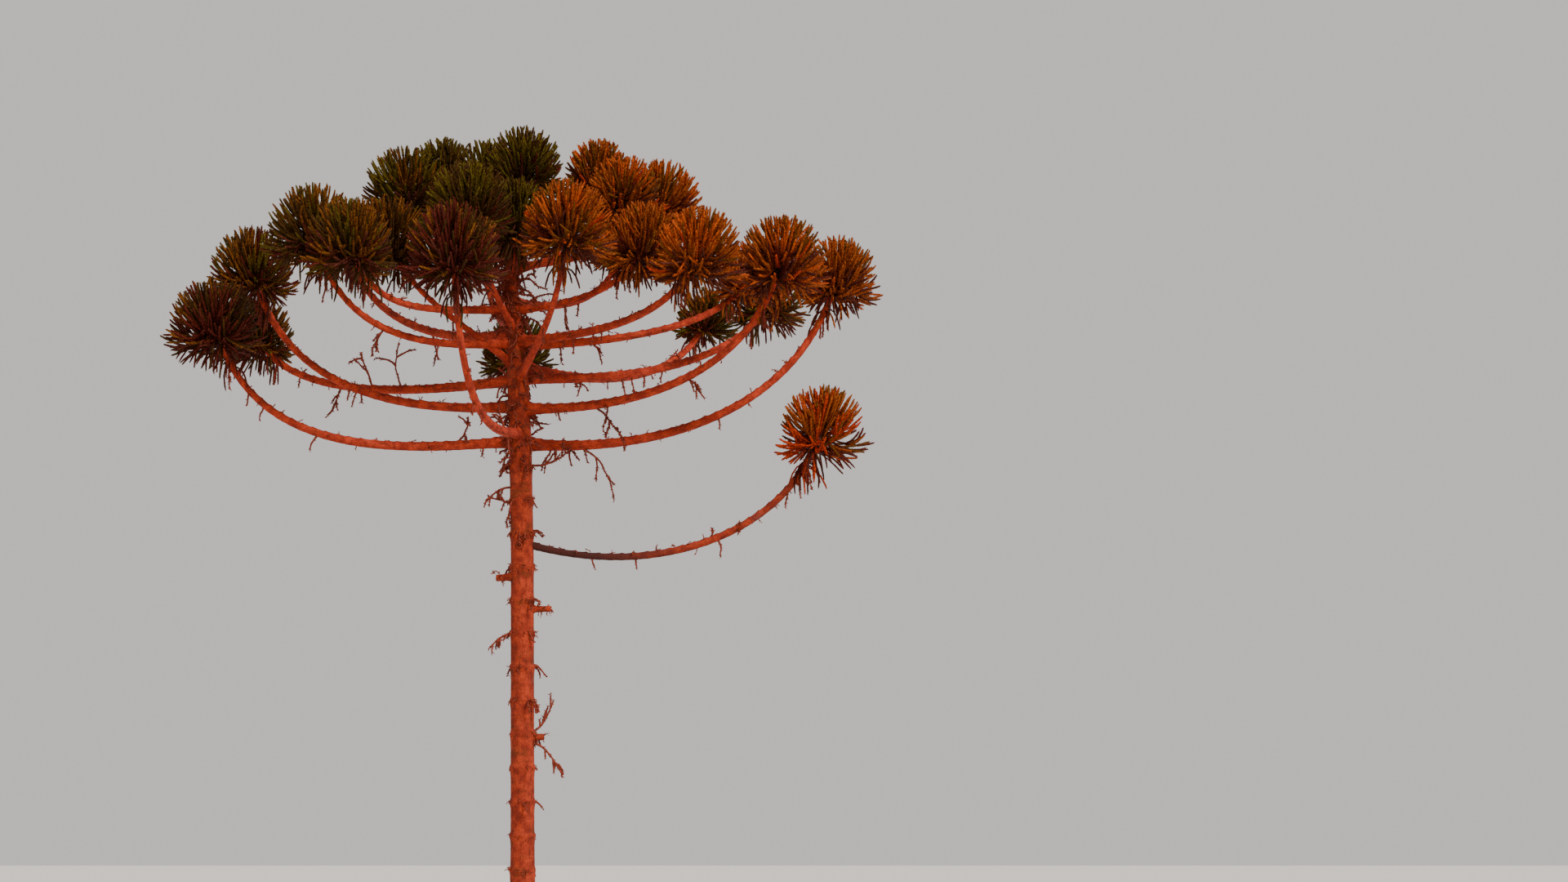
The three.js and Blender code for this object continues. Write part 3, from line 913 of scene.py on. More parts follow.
def tube_on(tree, curve, sides):
    """A round closed tube on a curve, by the radius on its points."""
    outline = node(tree, "GeometryNodeCurvePrimitiveCircle", {}, {"Resolution": sides, "Radius": 1.0})
    tube = node(tree, "GeometryNodeCurveToMesh", {}, {
        "Curve": curve,
        "Profile Curve": outline,
        "Scale": named_value(tree, "radius"),
        "Fill Caps": True,
    })
    return node(tree, "GeometryNodeSetShadeSmooth", {}, {"Geometry": tube})


def tube_tree():
    """Grows lines into tubes."""
    tree, given = geometry_tree("Tubes On Lines", {
        "Sides": "NodeSocketInt",
        "Material": "NodeSocketMaterial",
    })
    curve = node(tree, "GeometryNodeMeshToCurve", {}, {"Mesh": given.out("Geometry")})
    return finish_tree(tree, tube_on(tree, curve, given.out("Sides")), given.out("Material"))


def clad_tree():
    """Grows lines into tubes clad with needles in a spiral, by the radius of the tube and the size
    and the lean of the needles on their points."""
    tree, given = geometry_tree("Clad Lines", {
        "Sides": "NodeSocketInt",
        "Needle": "NodeSocketObject",
        "Spacing": "NodeSocketFloat",
        "Ragged": "NodeSocketFloat",
        "Seed": "NodeSocketInt",
        "Material": "NodeSocketMaterial",
    })
    curve = node(tree, "GeometryNodeMeshToCurve", {}, {"Mesh": given.out("Geometry")})
    spots = node(tree, "GeometryNodeCurveToPoints", {"mode": "LENGTH"},
                 {"Curve": curve, "Length": given.out("Spacing")})
    spin = node(tree, "GeometryNodeInputIndex") * math.radians(GOLDEN_ANGLE)
    chance = random_value(tree, -1.0, 1.0, given.out("Seed"))
    other_chance = random_value(tree, -1.0, 1.0, given.out("Seed") + 17)
    ragged = given.out("Ragged")
    spun = turned(tree, spots.out("Rotation"), (0, 0, 1), spin + chance * ragged)
    leaned = turned(tree, spun, (0, 1, 0), named_value(tree, "lean") + other_chance * ragged * 0.4)
    shape = node(tree, "GeometryNodeObjectInfo", {}, {"Object": given.out("Needle")})
    needles = node(tree, "GeometryNodeInstanceOnPoints", {}, {
        "Points": spots,
        "Instance": shape.out("Geometry"),
        "Rotation": leaned,
        "Scale": named_value(tree, "size") * (1 + chance * ragged * 0.5),
    })
    core = tube_on(tree, curve, given.out("Sides"))
    both = node(tree, "GeometryNodeJoinGeometry", {}, {"Geometry": [core, needles]})
    return finish_tree(tree, both, given.out("Material"))


def bark_relief_tree():
    """Raises bark on a limb: plates and streaks that stand out along its normals."""
    tree, given = geometry_tree("Bark Relief", {
        "Depth": "NodeSocketFloat",
        "Grain": "NodeSocketFloat",
        "Stretch": "NodeSocketVector",
        "Material": "NodeSocketMaterial",
    })
    place = node(tree, "GeometryNodeInputNamedAttribute", {"data_type": "FLOAT_VECTOR"},
                 {"Name": BARK_PLACE})
    stretched = node(tree, "ShaderNodeVectorMath", {"operation": "MULTIPLY"},
                     {0: place, 1: given.out("Stretch")})
    coarse = node(tree, "ShaderNodeTexNoise", {},
                  {"Vector": stretched, "Scale": given.out("Grain"), "Detail": 3.0})
    plates = node(tree, "ShaderNodeTexVoronoi", {"feature": "DISTANCE_TO_EDGE"},
                  {"Vector": stretched, "Scale": given.out("Grain") * 1.7})
    edge = plates.math("MINIMUM", plates * 4, 1.0)
    height = (coarse - 0.5) * 2 + edge * 0.5
    offset = node(tree, "ShaderNodeVectorMath", {"operation": "SCALE"}, {
        "Vector": node(tree, "GeometryNodeInputNormal"),
        "Scale": height * given.out("Depth"),
    })
    position = node(tree, "GeometryNodeInputPosition")
    above = node(tree, "ShaderNodeSeparateXYZ", {}, {"Vector": position}).out("Z") > 0.002
    raised = node(tree, "GeometryNodeSetPosition", {},
                  {"Geometry": given.out("Geometry"), "Selection": above, "Offset": offset})
    smooth = node(tree, "GeometryNodeSetShadeSmooth", {}, {"Geometry": raised})
    return finish_tree(tree, smooth, given.out("Material"))


def grown(made, tree, **inputs):
    """Runs a geometry tree on an object and keeps the result as its plain mesh."""
    modifier = made.modifiers.new("Grow", "NODES")
    modifier.node_group = tree
    for item in tree.interface.items_tree:
        key = item.name.lower().replace(" ", "_")
        if item.in_out == "INPUT" and key in inputs:
            modifier[item.identifier] = inputs[key]
    depsgraph = bpy.context.evaluated_depsgraph_get()
    result = bpy.data.meshes.new_from_object(made.evaluated_get(depsgraph), depsgraph=depsgraph)
    if not result.polygons:
        raise RuntimeError(f"{made.name} has no faces")
    made.modifiers.clear()
    made.data = result
    made.data.name = made.name
    only_material(made.data, inputs["material"])


def only_material(mesh, material):
    """Leaves a mesh with one material and no empty slots."""
    mesh.materials.clear()
    mesh.materials.append(material)
    mesh.polygons.foreach_set("material_index", np.zeros(len(mesh.polygons), np.int32))


def placed_piece(made, nodes):
    """Hands a finished piece to the frame."""
    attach(made, "root")
    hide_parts(*nodes)


# Materials


def shader(name, roughness):
    """A material's tree and its shader node."""
    material = bpy.data.materials.new(name)
    material.use_nodes = True
    principled = material.node_tree.nodes["Principled BSDF"]
    principled.inputs["Roughness"].default_value = roughness
    return material, material.node_tree, principled


def stretched(tree, place, stretch):
    """A place stretched so that a pattern is drawn out along an axis."""
    return node(tree, "ShaderNodeMapping", {}, {"Vector": place, "Scale": stretch})


def object_place(tree):
    return node(tree, "ShaderNodeTexCoord").out("Object")


def noise(tree, place, scale, detail=4.0, roughness=0.55):
    return node(tree, "ShaderNodeTexNoise", {},
                {"Vector": place, "Scale": scale, "Detail": detail, "Roughness": roughness})


def mask(tree, value, low, high):
    """0 below low, 1 above high, and smooth between them."""
    return node(tree, "ShaderNodeMapRange", {"interpolation_type": "SMOOTHSTEP"},
                {"Value": value, "From Min": low, "From Max": high})


def mixed(tree, share, first, second):
    """Two colours mixed by a share."""
    return node(tree, "ShaderNodeMix", {"data_type": "RGBA"}, {0: share, 6: first, 7: second}).out(2)


def opaque(values):
    """A colour with its alpha."""
    return (*values, 1.0)


def bark_material(name, looks, red, light, grey_share, sheen, stained=0.4, root_shade=0.0, knot=None):
    """Reddish-brown bark: fine grain, streaks along the limb, creases round it, cracks, stains and grey
    patches, coat over coat; cracks and creases are darkened where the bump sinks them, the bark's own
    darker fissures and painted shade in them. A root shade is painted shade: grey near the trunk,
    reddening over its first metres. A knot is a dark eye and a dark rim round a place."""
    material, tree, principled = shader(name, 0.9)
    principled.inputs["Specular IOR Level"].default_value = sheen
    place = node(tree, "ShaderNodeAttribute", {"attribute_name": BARK_PLACE}).out("Vector")
    drawn = stretched(tree, place, (1.0, 1.0, 0.22))
    banded = stretched(tree, place, (3.0, 3.0, 30.0))
    mottle = noise(tree, place, 5.0)
    grain = noise(tree, stretched(tree, place, (1.0, 1.0, 0.6)), 34.0, 5.0, 0.7)
    streak = noise(tree, drawn, 12.0, 4.0)
    bands = noise(tree, banded, 1.0, 3.0)
    cracks = node(tree, "ShaderNodeTexVoronoi", {"feature": "DISTANCE_TO_EDGE"},
                  {"Vector": drawn, "Scale": 24.0})
    patches = mask(tree, noise(tree, place, 1.6, 5.0, 0.6), lerp(0.72, 0.42, grey_share), 0.78)
    stains = noise(tree, stretched(tree, place, (1.0, 1.0, 1.8)), 2.3, 6.0, 0.65)
    coats = [
        (mask(tree, streak, 0.50, 0.72) * 0.6, looks.bark_dark),
        (patches * 0.7, looks.bark_grey),
        (mask(tree, stains, 0.53, 0.66) * stained, looks.bark_brown),
        (mask(tree, grain, 0.50, 0.66) * 0.7, looks.bark_dark),
        # Cracks and the creases round the limb darkened where the bump sinks them: the bark's own darker
        # fissures, and painted shade in them
        ((1 - mask(tree, cracks, 0.0, 0.07)) * 0.45, looks.bark_dark),
        (mask(tree, bands, 0.60, 0.74) * 0.5, looks.bark_dark),
    ]
    if knot is not None:
        apart = node(tree, "ShaderNodeVectorMath", {"operation": "DISTANCE"},
                     {0: object_place(tree), 1: knot})
        apart = apart.out("Value") + (mottle - 0.5) * 0.05
        eye = mask(tree, apart, 0.012, 0.030) * (1 - mask(tree, apart, 0.040, 0.060))
        rim = mask(tree, apart, 0.075, 0.090) * (1 - mask(tree, apart, 0.095, 0.115))
        coats.append((eye * 0.95 + rim * 0.8, looks.knot_dark))
    # Painted shade: the root of the bough grey and dark near the trunk, reddening over its first metres
    if root_shade:
        travelled = node(tree, "ShaderNodeSeparateXYZ", {}, {"Vector": place}).out("Z")
        coats.append(((1 - mask(tree, travelled, 1.5, 4.0)) * root_shade, looks.bark_root))
    base = mixed(tree, mask(tree, mottle, 0.32, 0.68), opaque(red), opaque(light))
    for share, tone in coats:
        base = mixed(tree, share, base, opaque(tone))
    height = grain * 0.6 + mask(tree, cracks, 0.0, 0.12) * 0.3 - mask(tree, bands, 0.58, 0.72) * 0.5
    bump = node(tree, "ShaderNodeBump", {}, {"Height": height, "Strength": 0.7, "Distance": 0.012})
    tree.links.new(base.socket, principled.inputs["Base Color"])
    tree.links.new(bump.socket, principled.inputs["Normal"])
    return material


def twig_material(name, base_colour, shaded_colour):
    """Wood of thin twigs, mottled finely between its base colour and a shaded one: painted light and
    shade, dealt at random.
    """
    material, tree, principled = shader(name, 0.85)
    # Specks of the shaded colour among the base colour: painted shade, dealt at random
    specks = mask(tree, noise(tree, object_place(tree), 40.0), 0.35, 0.65)
    base = mixed(tree, specks, opaque(shaded_colour), opaque(base_colour))
    tree.links.new(base.socket, principled.inputs["Base Color"])
    return material


def needle_material(name, base_colour):
    """Waxy needles of one plain colour that varies a little, without regard to place: random flecks
    between a dark end that is painted shade and a lighter, yellower end that is a painted highlight.
    """
    material, tree, principled = shader(name, 0.7)
    principled.inputs["Specular IOR Level"].default_value = 0.15
    flecks = mask(tree, noise(tree, object_place(tree), 22.0, 3.0), 0.3, 0.7)
    red, green, blue = base_colour
    # The dark end is tinted as painted shade, and the light end, with more green and blue, as a painted
    # highlight
    dark = (red * 0.60, green * 0.42, blue * 0.5)
    light = (red * 1.65, green * 2.1, blue * 4.0)
    base = mixed(tree, flecks, opaque(dark), opaque(light))
    tree.links.new(base.socket, principled.inputs["Base Color"])
    return material


# Settings


def distance(name, description, default):
    return bpy.props.FloatProperty(name=name, description=description, default=default, min=0.0,
                                   unit="LENGTH", precision=4)


def portion(name, description, default):
    return bpy.props.FloatProperty(name=name, description=description, default=default, min=0.0,
                                   max=1.0, subtype="FACTOR")


def tint(name, description, default):
    return bpy.props.FloatVectorProperty(name=name, description=description, default=default, min=0.0,
                                         max=1.0, size=3, subtype="COLOR")


class BarkLooks(bpy.types.PropertyGroup):
    """Relief and colours of the bark."""

    trunk_relief: distance("Trunk relief", "How far the plates of bark stand out on the trunk", 0.006)
    bough_relief: distance("Bough relief", "How far the plates of bark stand out on the boughs", 0.004)
    ring_swell: distance("Ring swell", "How far the rings of old whorls stand out on the trunk", 0.020)
    bark_red: tint("Red bark", "Colour of most of the bark", (0.225, 0.018, 0.005))
    bark_light: tint("Light bark", "Colour of the freshly flaked bark", (0.46, 0.048, 0.013))
    bough_red: tint("Red bough", "Colour of most of the bark on the boughs", (0.31, 0.023, 0.008))
    bough_light: tint("Light bough", "Colour of freshly flaked bark on the boughs", (0.58, 0.056, 0.018))
    # Dark bark is also painted shade in the cracks and creases
    bark_dark: tint("Dark bark", "Colour of cracks and creases", (0.085, 0.012, 0.006))
    twig_light: tint("Light twig", "Scales of the dead twigs that catch the light", (0.34, 0.042, 0.013))
    twig_dark: tint("Dark twig", "Scales of the dead twigs in their own shade", (0.13, 0.018, 0.007))
    frizz_light: tint("Light frizz", "Dry bristles that catch the light", (0.42, 0.062, 0.020))
    frizz_dark: tint("Dark frizz", "Dry bristles in their own shade", (0.15, 0.024, 0.009))
    # The grey, dark root of the lone bough is painted shade
    bark_root: tint("Root bark", "Colour of the lone bough near the trunk", (0.046, 0.012, 0.009))
    knot_dark: tint("Dark knot", "Colour of the creases of the knot", (0.045, 0.005, 0.002))
    bark_brown: tint("Brown bark", "Colour of the stained patches", (0.16, 0.030, 0.006))
    bark_grey: tint("Grey bark", "Colour of the weathered patches", (0.20, 0.065, 0.052))


class TuftLooks(bpy.types.PropertyGroup):
    """Fingers and needles of the tufts."""

    fingers: bpy.props.IntProperty(
        name="Fingers", description="Fingers that a spray forks into", default=16, min=1, max=24)
    fan: bpy.props.FloatProperty(
        name="Fan", description="Angle from the middle of a spray to its outermost finger",
        default=math.radians(30), min=0.0, subtype="ANGLE")
    ragged: portion("Ragged", "Share of the radius by which a finger may end short", 0.13)
    hanging_ragged: portion("Hanging ragged", "The same for the fingers that hang", 0.28)
    hanging_missing: portion("Hanging missing", "Share of the hanging fingers that broke off", 0.15)
    needle_length: distance("Needle length", "Length of a needle", 0.056)
    needle_width: distance("Needle width", "Width of a needle at its widest", 0.028)
    needle_spacing: distance("Needle spacing", "Step along a finger from needle to needle", 0.0170)
    finger_core: distance("Finger core", "Radius of a finger where its needles leave it", 0.029)
    inner_twig: tint("Inner twig", "Bare twigs inside the tufts", (0.110, 0.018, 0.007))
    dark_green: tint("Dark green", "Needles in the shade of the crown", (0.060, 0.021, 0.001))
    green: tint("Green", "Needles of the green tufts", (0.088, 0.050, 0.001))
    olive: tint("Olive", "Needles that turn from green to bronze", (0.150, 0.042, 0.002))
    brown: tint("Brown", "Needles between olive and bronze", (0.270, 0.050, 0.003))
    bronze: tint("Bronze", "Needles of the sunlit tufts", (0.390, 0.056, 0.003))
    # Copper stands partly for painted sunlight on the tufts at the right
    copper: tint("Copper", "Needles that the sun has bleached", (0.380, 0.032, 0.003))
    # Dark red stands partly for painted shade in the lower and hanging fingers
    dark_red: tint("Dark red", "Needles that turn brown in the shade", (0.085, 0.009, 0.002))
    dead: tint("Dead", "Dry needles that hang under the tufts", (0.085, 0.015, 0.004))


class StageLooks(bpy.types.PropertyGroup):
    """Floor, light and camera."""

    camera_distance: distance("Camera distance", "From the trunk to the camera", 67.0)
    camera_height: distance("Camera height", "Height of the camera above the ground", 1.7)
    camera_side: distance("Camera side", "How far the camera stands to the right of the trunk", 5.673)
    camera_pitch: bpy.props.FloatProperty(
        name="Camera pitch", description="How far the camera looks up", default=math.radians(7.63),
        subtype="ANGLE")
    lens: bpy.props.FloatProperty(name="Lens", description="Focal length in millimetres", default=70.0)
    floor_colour: tint("Floor", "Colour of the floor", (0.78, 0.76, 0.73))
    air_colour: tint("Surroundings", "Colour of the light from all round", (0.90, 0.87, 0.84))
    air_strength: bpy.props.FloatProperty(
        name="Surroundings strength", description="Strength of the light from all round", default=0.75)
    sun_strength: bpy.props.FloatProperty(
        name="Main light strength", description="Strength of the main light", default=3.2)


# Operators


def round_limb(angle, azimuth, radius):
    """How far points at an angle are from an azimuth, measured round a limb."""
    return ((angle - azimuth + math.pi) % (2 * math.pi) - math.pi) * radius


def trunk_rings(heights, angles, looks):
    """How far the old whorls stand out, with the scars of their boughs, and the knot."""
    out = np.zeros((len(heights), len(angles)))
    height, angle = np.meshgrid(heights, angles, indexing="ij")
    random = seeded(515)
    for ring in range(RING_COUNT):
        middle = RING_FIRST + ring * RING_STEP
        above = height - middle - RING_TILT * np.sin(angle * 2 + ring)
        swell = np.exp(-(above / np.where(above > 0, RING_ABOVE, RING_UNDER)) ** 2)
        out += looks.ring_swell * swell
        scars = 5 + int(3 * random())
        for scar in range(scars):
            azimuth = 2 * math.pi * (scar + 0.5 * random()) / scars + ring * 0.9
            width = lerp(*SCAR_WIDTH, random())
            beside = round_limb(angle, azimuth, SCAR_RADIUS)
            apart = np.hypot(beside, height - middle - lerp(*SCAR_SHIFT, random()))
            out += SCAR_LIP * np.exp(-(apart / width) ** 2)
            out -= SCAR_PIT * np.exp(-(apart / (0.4 * width)) ** 2)
    knot_height, knot_azimuth, knot_width, knot_out = KNOT
    beside = round_limb(angle, math.radians(knot_azimuth), KNOT_RADIUS)
    apart = np.hypot(beside, height - knot_height)
    spiral = np.cos(apart / knot_width * KNOT_TURNS + np.arctan2(height - knot_height, beside))
    inside = np.exp(-(apart / (0.6 * knot_width)) ** 2)
    return out + knot_out * inside * (0.75 + 0.25 * spiral)


def knot_place():
    """The middle of the knot, on the bark."""
    height, azimuth, _, out = KNOT
    return trunk_centre(height) + outwards(azimuth) * (float(trunk_radius(height, 0.0)) + out * 0.8)


def trunk_skin(looks, rows=560, sides=80):
    heights = np.linspace(0, TRUNK[-1, 0], rows)
    centres = np.array([trunk_centre(height) for height in heights])
    angles = np.arange(sides) * 2 * math.pi / sides
    radii = trunk_radius(heights[:, None], -angles[None, :]) + trunk_rings(heights, angles, looks)
    across = np.tile([1.0, 0.0, 0.0], (rows, 1))
    return skin_upright(centres, across, radii)


def skin_upright(centres, across, radii):
    """A tube whose rings all stay level, so that its foot is cut flat."""
    points, faces, places = skin(centres * np.array([0, 1, 1]), across, radii)
    points[:, 0] += np.repeat(centres[:, 0], radii.shape[1])
    return points, faces, places


def stub_skin(height, azimuth, reach, diameter, rise, random, rows=14, sides=18):
    """A broken stub: thick at its root, with a splintered end."""
    start = trunk_centre(height)
    trunk = np.interp(height, TRUNK[:, 0], TRUNK[:, 2]) / 2
    end = start + outwards(azimuth) * (trunk + reach) + UP * rise
    shares = np.linspace(STUB_START, 1, rows)
    centres = start + (end - start) * shares[:, None]
    across = np.tile(outwards(azimuth - 90), (rows, 1))
    from_bark = np.maximum(0, shares * (trunk + reach) - trunk)
    swell = STUB_GIRTH + STUB_SWELL * np.exp(-from_bark / STUB_SWELL_REACH)
    radii = diameter / 2 * swell[:, None] * np.ones((1, sides))
    radii *= 1 + STUB_UNEVEN * np.array([[random() - 0.5 for _ in range(sides)] for _ in range(rows)])
    radii[-1] *= STUB_END
    points, faces, places = skin(centres, across, radii)
    splinters = np.array([random() for _ in range(sides)]) * STUB_SPLINTERS
    points[-sides:] -= unit(end - start) * splinters[:, None]
    return points, faces, places


class PINE_OT_trunk(bpy.types.Operator):
    """Skins the trunk with its flare, rings, scars, knot, stubs and bark"""

    bl_idname = "pine.trunk"
    bl_label = "Trunk"

    def execute(self, context):
        looks = context.scene.pine_bark
        random = seeded(88)
        skins = [trunk_skin(looks)] + [stub_skin(*row, random) for row in STUBS]
        made = joined_skins("trunk_skin", skins)
        material = bark_material("trunk bark", looks, looks.bark_red, looks.bark_light,
                                 grey_share=0.25, sheen=0.28, stained=0.75, knot=knot_place())
        grown(made, bark_relief_tree(), depth=looks.trunk_relief, grain=16.0, stretch=(1.0, 1.0, 0.45),
              material=material)
        placed_piece(made, ["trunk"])
        return {"FINISHED"}


def bough_skin(bough, tuft, rows, sides, number):
    """One limb from inside the trunk to the end of its stem in the tuft, with a saddle at its root, and
    bumps that swell slowly and end sharply along it."""
    shares = lerp(BOUGH_START, bough.entry, np.linspace(0, 1, rows) ** ROW_CROWDING)
    stem_shares = np.linspace(0, 1, rows // ROWS_PER_STEM_ROW)[1:]
    centres = np.array([bough.at(share) for share in shares]
                       + [tuft.stem_point(share) for share in stem_shares])
    radii = np.array([bough.radius(share) for share in shares]
                     + [tuft.stem_radius * lerp(1, STEM_TIP_SHARE, share) for share in stem_shares])
    angles = np.arange(sides) * 2 * math.pi / sides
    steps = np.linalg.norm(np.diff(centres, axis=0), axis=1)
    travelled = np.concatenate([[0], np.cumsum(steps)])
    phase = (travelled + BUMP_SHIFT * number) / BUMP_STEP
    saw = (phase + BUMP_UNEVEN * np.sin(phase * BUMP_PACE + number)) % 1
    lump = saw ** 3 * (1 - np.maximum(0, saw - BUMP_END) / (1 - BUMP_END))
    under = np.clip(-np.sin(angles), 0, 1) ** 0.8
    over = np.clip(np.sin(angles), 0, 1)
    fade = np.clip((travelled[-1] - travelled) / BUMP_FADE, BUMP_LEAST, 1)
    bumps = BUMP_UNDER * (lump * fade)[:, None] * under + BUMP_OVER * lump[:, None] * over
    from_trunk = np.maximum(0, travelled - SADDLE_START)
    saddle = SADDLE_DEPTH * np.exp(-from_trunk / SADDLE_REACH)[:, None] * np.sin(angles) ** 2
    swing = GIRTH_SWING * np.sin(phase * GIRTH_PACE + number * 2)[:, None]
    thinned = 1 - SLIM_ROOT.get(bough.name, 0.0) * np.exp(-(travelled / SLIM_REACH) ** 2)
    section = (radii * thinned)[:, None] * (1 + saddle * thinned[:, None] ** 4 + swing) + bumps
    across = np.tile(outwards(bough.azimuth - 90), (len(centres), 1))
    return skin(centres, across, section)


def bough_nodes(bough):
    if bough.name in SPLIT_BOUGHS:
        return [f"bough_{bough.name}_inner", f"bough_{bough.name}_outer"]
    return [f"bough_{bough.name}"]


class PINE_OT_boughs(bpy.types.Operator):
    """Skins the boughs with their collars, growth bumps and bark, on into their tufts"""

    bl_idname = "pine.boughs"
    bl_label = "Boughs"

    def execute(self, context):
        looks = context.scene.pine_bark
        boughs = all_boughs()
        tufts = all_tufts(boughs)
        plain = bark_material("bough bark", looks, looks.bough_red, looks.bough_light,
                              grey_share=0.15, sheen=0.26)
        # The lone bough's bark: more grey patches, and a root in painted shade
        greyed_and_shaded = bark_material("lone bough bark", looks, looks.bark_red, looks.bark_light,
                               grey_share=0.8, sheen=0.30, root_shade=0.92)
        relief = bark_relief_tree()
        for name, chosen, rows, sides, material in (
                ("bough_lone_skin", range(1), 230, 20, greyed_and_shaded),
                ("boughs_lower", range(1, FIRST_UPPER_BOUGH), 190, 18, plain),
                ("boughs_upper", range(FIRST_UPPER_BOUGH, len(boughs)), 130, 16, plain)):
            skins = [bough_skin(boughs[number], tufts[number], rows, sides, number) for number in chosen]
            made = joined_skins(name, skins)
            grown(made, relief, depth=looks.bough_relief, grain=22.0, stretch=(1.0, 1.0, 0.6),
                  material=material)
            nodes = [node_name for number in chosen for node_name in bough_nodes(boughs[number])]
            placed_piece(made, nodes)
        return {"FINISHED"}


def wandering(start, direction, reach, random, droop, points, wander):
    """A dead twig that wanders as it grows and droops by its own weight."""
    path = [start]
    way = unit(direction)
    step = reach / (points - 1)
    for _ in range(points - 1):
        sway = np.array([random() - 0.5, random() - 0.5, random() - 0.5]) * 2 * wander
        way = unit(way + sway - UP * droop * step / reach * DROOP_STRENGTH)
        path.append(path[-1] + way * step)
    return np.array(path)


def forked(path, random, count, share, droop):
    """Side twigs of a dead twig, up to a share of its length."""
    made = []
    longest = np.linalg.norm(path[-1] - path[0]) * share
    for _ in range(count):
        place = 2 + int(random() * (len(path) - 4))
        way = unit(path[place + 1] - path[place])
        side = swung(way, lerp(28, 60, random()), 360 * random())
        reach = longest * lerp(0.5, 1, random())
        made.append(wandering(path[place], side, reach, random, droop=droop, points=6, wander=0.22))
    return made


def on_trunk(height, azimuth):
    """A point on the trunk's bark."""
    return trunk_centre(height) + outwards(azimuth) * (float(trunk_radius(height, 0.0)) + 0.005)


def long_trunk_twigs(random):
    """The twigs that hang or curl up to a place of their own, and the finer ones beside them."""
    made = []
    for height, azimuth, reach, drop in TRUNK_TWIGS:
        start = trunk_centre(height) + outwards(azimuth) * 0.24
        goal = outwards(azimuth) * reach - UP * drop
        way = outwards(azimuth) * 0.8 - UP * 0.15 * np.sign(drop)
        droop = 1.6 * drop / reach
        path = wandering(start, way, reach * 1.1, random, droop=droop, points=11, wander=0.14)
        path = path + (start + goal - path[-1]) * np.linspace(0, 1, len(path))[:, None]
        made.append(path)
        made += forked(path, random, count=5, share=0.4, droop=1.0 if drop > 0 else -0.4)
    for height, azimuth, elevation, reach, forks in TRUNK_SPRIGS:
        path = wandering(on_trunk(height, azimuth), heading(azimuth, elevation), reach, random,
                         droop=0.1, points=10, wander=0.25)
        made.append(path)
        made += forked(path, random, forks, share=0.5, droop=0.3)
    return made


def stub_bristles(random):
    """The short bristles round each broken stub."""
    made = []
    for height, azimuth, reach, diameter, _ in STUBS:
        for _ in range(STUB_BRISTLES):
            start = on_trunk(height, azimuth) + outwards(azimuth) * reach * random()
            around = outwards(azimuth + 90) * (random() - 0.5) + UP * (random() - 0.5)
            start = start + unit(around) * diameter * 0.42
            length = 0.06 + 0.1 * random()
            made.append(wandering(start, around, length, random, droop=0.5, points=5, wander=0.4))
    return made


def ring_bristles(random):
    """The bristling ledge at each ring, in clumps, and the few long twigs among the bristles."""
    long_ones, short_ones = [], []
    for ring in range(RING_COUNT):
        middle = RING_FIRST + ring * RING_STEP
        clumped = 360 * random()
        for bristle in range(RING_BRISTLES):
            azimuth = 360 * (bristle + random()) / RING_BRISTLES
            bare = middle < WORN_BELOW and random() > WORN_SHARE
            if bare or math.cos(math.radians(azimuth * 3 + clumped)) < lerp(-1.0, 0.6, random()):
                continue
            way = heading(azimuth + lerp(-50, 50, random()), lerp(-30, 40, random()))
            start = on_trunk(middle + lerp(-0.05, 0.05, random()), azimuth)
            reach = lerp(0.04, 0.13, random() ** 1.5)
            short_ones.append(wandering(start, way, reach, random, droop=0.5, points=4, wander=0.4))
            if random() < LONG_AMONG_SHORT:
                reach = lerp(0.2, 0.4, random())
                path = wandering(start, way, reach, random, droop=1.0, points=8, wander=0.25)
                long_ones.append(path)
    return long_ones, short_ones


def tangles(random):
    """The tangle of twigs round the trunk, between its lowest boughs."""
    made = []
    for lowest, highest, count, longest in TANGLES:
        for _ in range(count):
            azimuth = 360 * random()
            start = on_trunk(lerp(lowest, highest, random()), azimuth)
            way = heading(azimuth + lerp(-70, 70, random()), lerp(-60, 70, random()))
            reach = lerp(0.2 * longest, longest, random() ** 1.5)
            made.append(wandering(start, way, reach, random, droop=0.6, points=9, wander=0.4))
    return made


def trunk_dead_twigs(random):
    """All the dead twigs of the trunk: the long ones, and the short bristles."""
    long_ones = long_trunk_twigs(random)
    short_ones = stub_bristles(random)
    ring_long, ring_short = ring_bristles(random)
    return long_ones + ring_long + tangles(random), short_ones + ring_short


def long_bough_twigs(boughs, random):
    """The long dead twigs on the boughs, each at a place of its own, with their side twigs."""
    made = []
    named = {bough.name: bough for bough in boughs}
    for name, out, elevation, reach, forks in BOUGH_TWIGS:
        bough = named[name]
        share = bough.share_at(out)
        aside = outwards(bough.azimuth - 90) * lerp(-0.3, 0.3, random())
        way = unit(heading(bough.azimuth, elevation) + aside)
        droop = 0.5 if elevation < 0 else 0.45
        path = wandering(bough.at(share), way, reach + bough.radius(share), random, droop=droop,
                         points=12, wander=0.28)
        made.append(path)
        made += forked(path, random, forks, share=0.55, droop=droop)
    return made


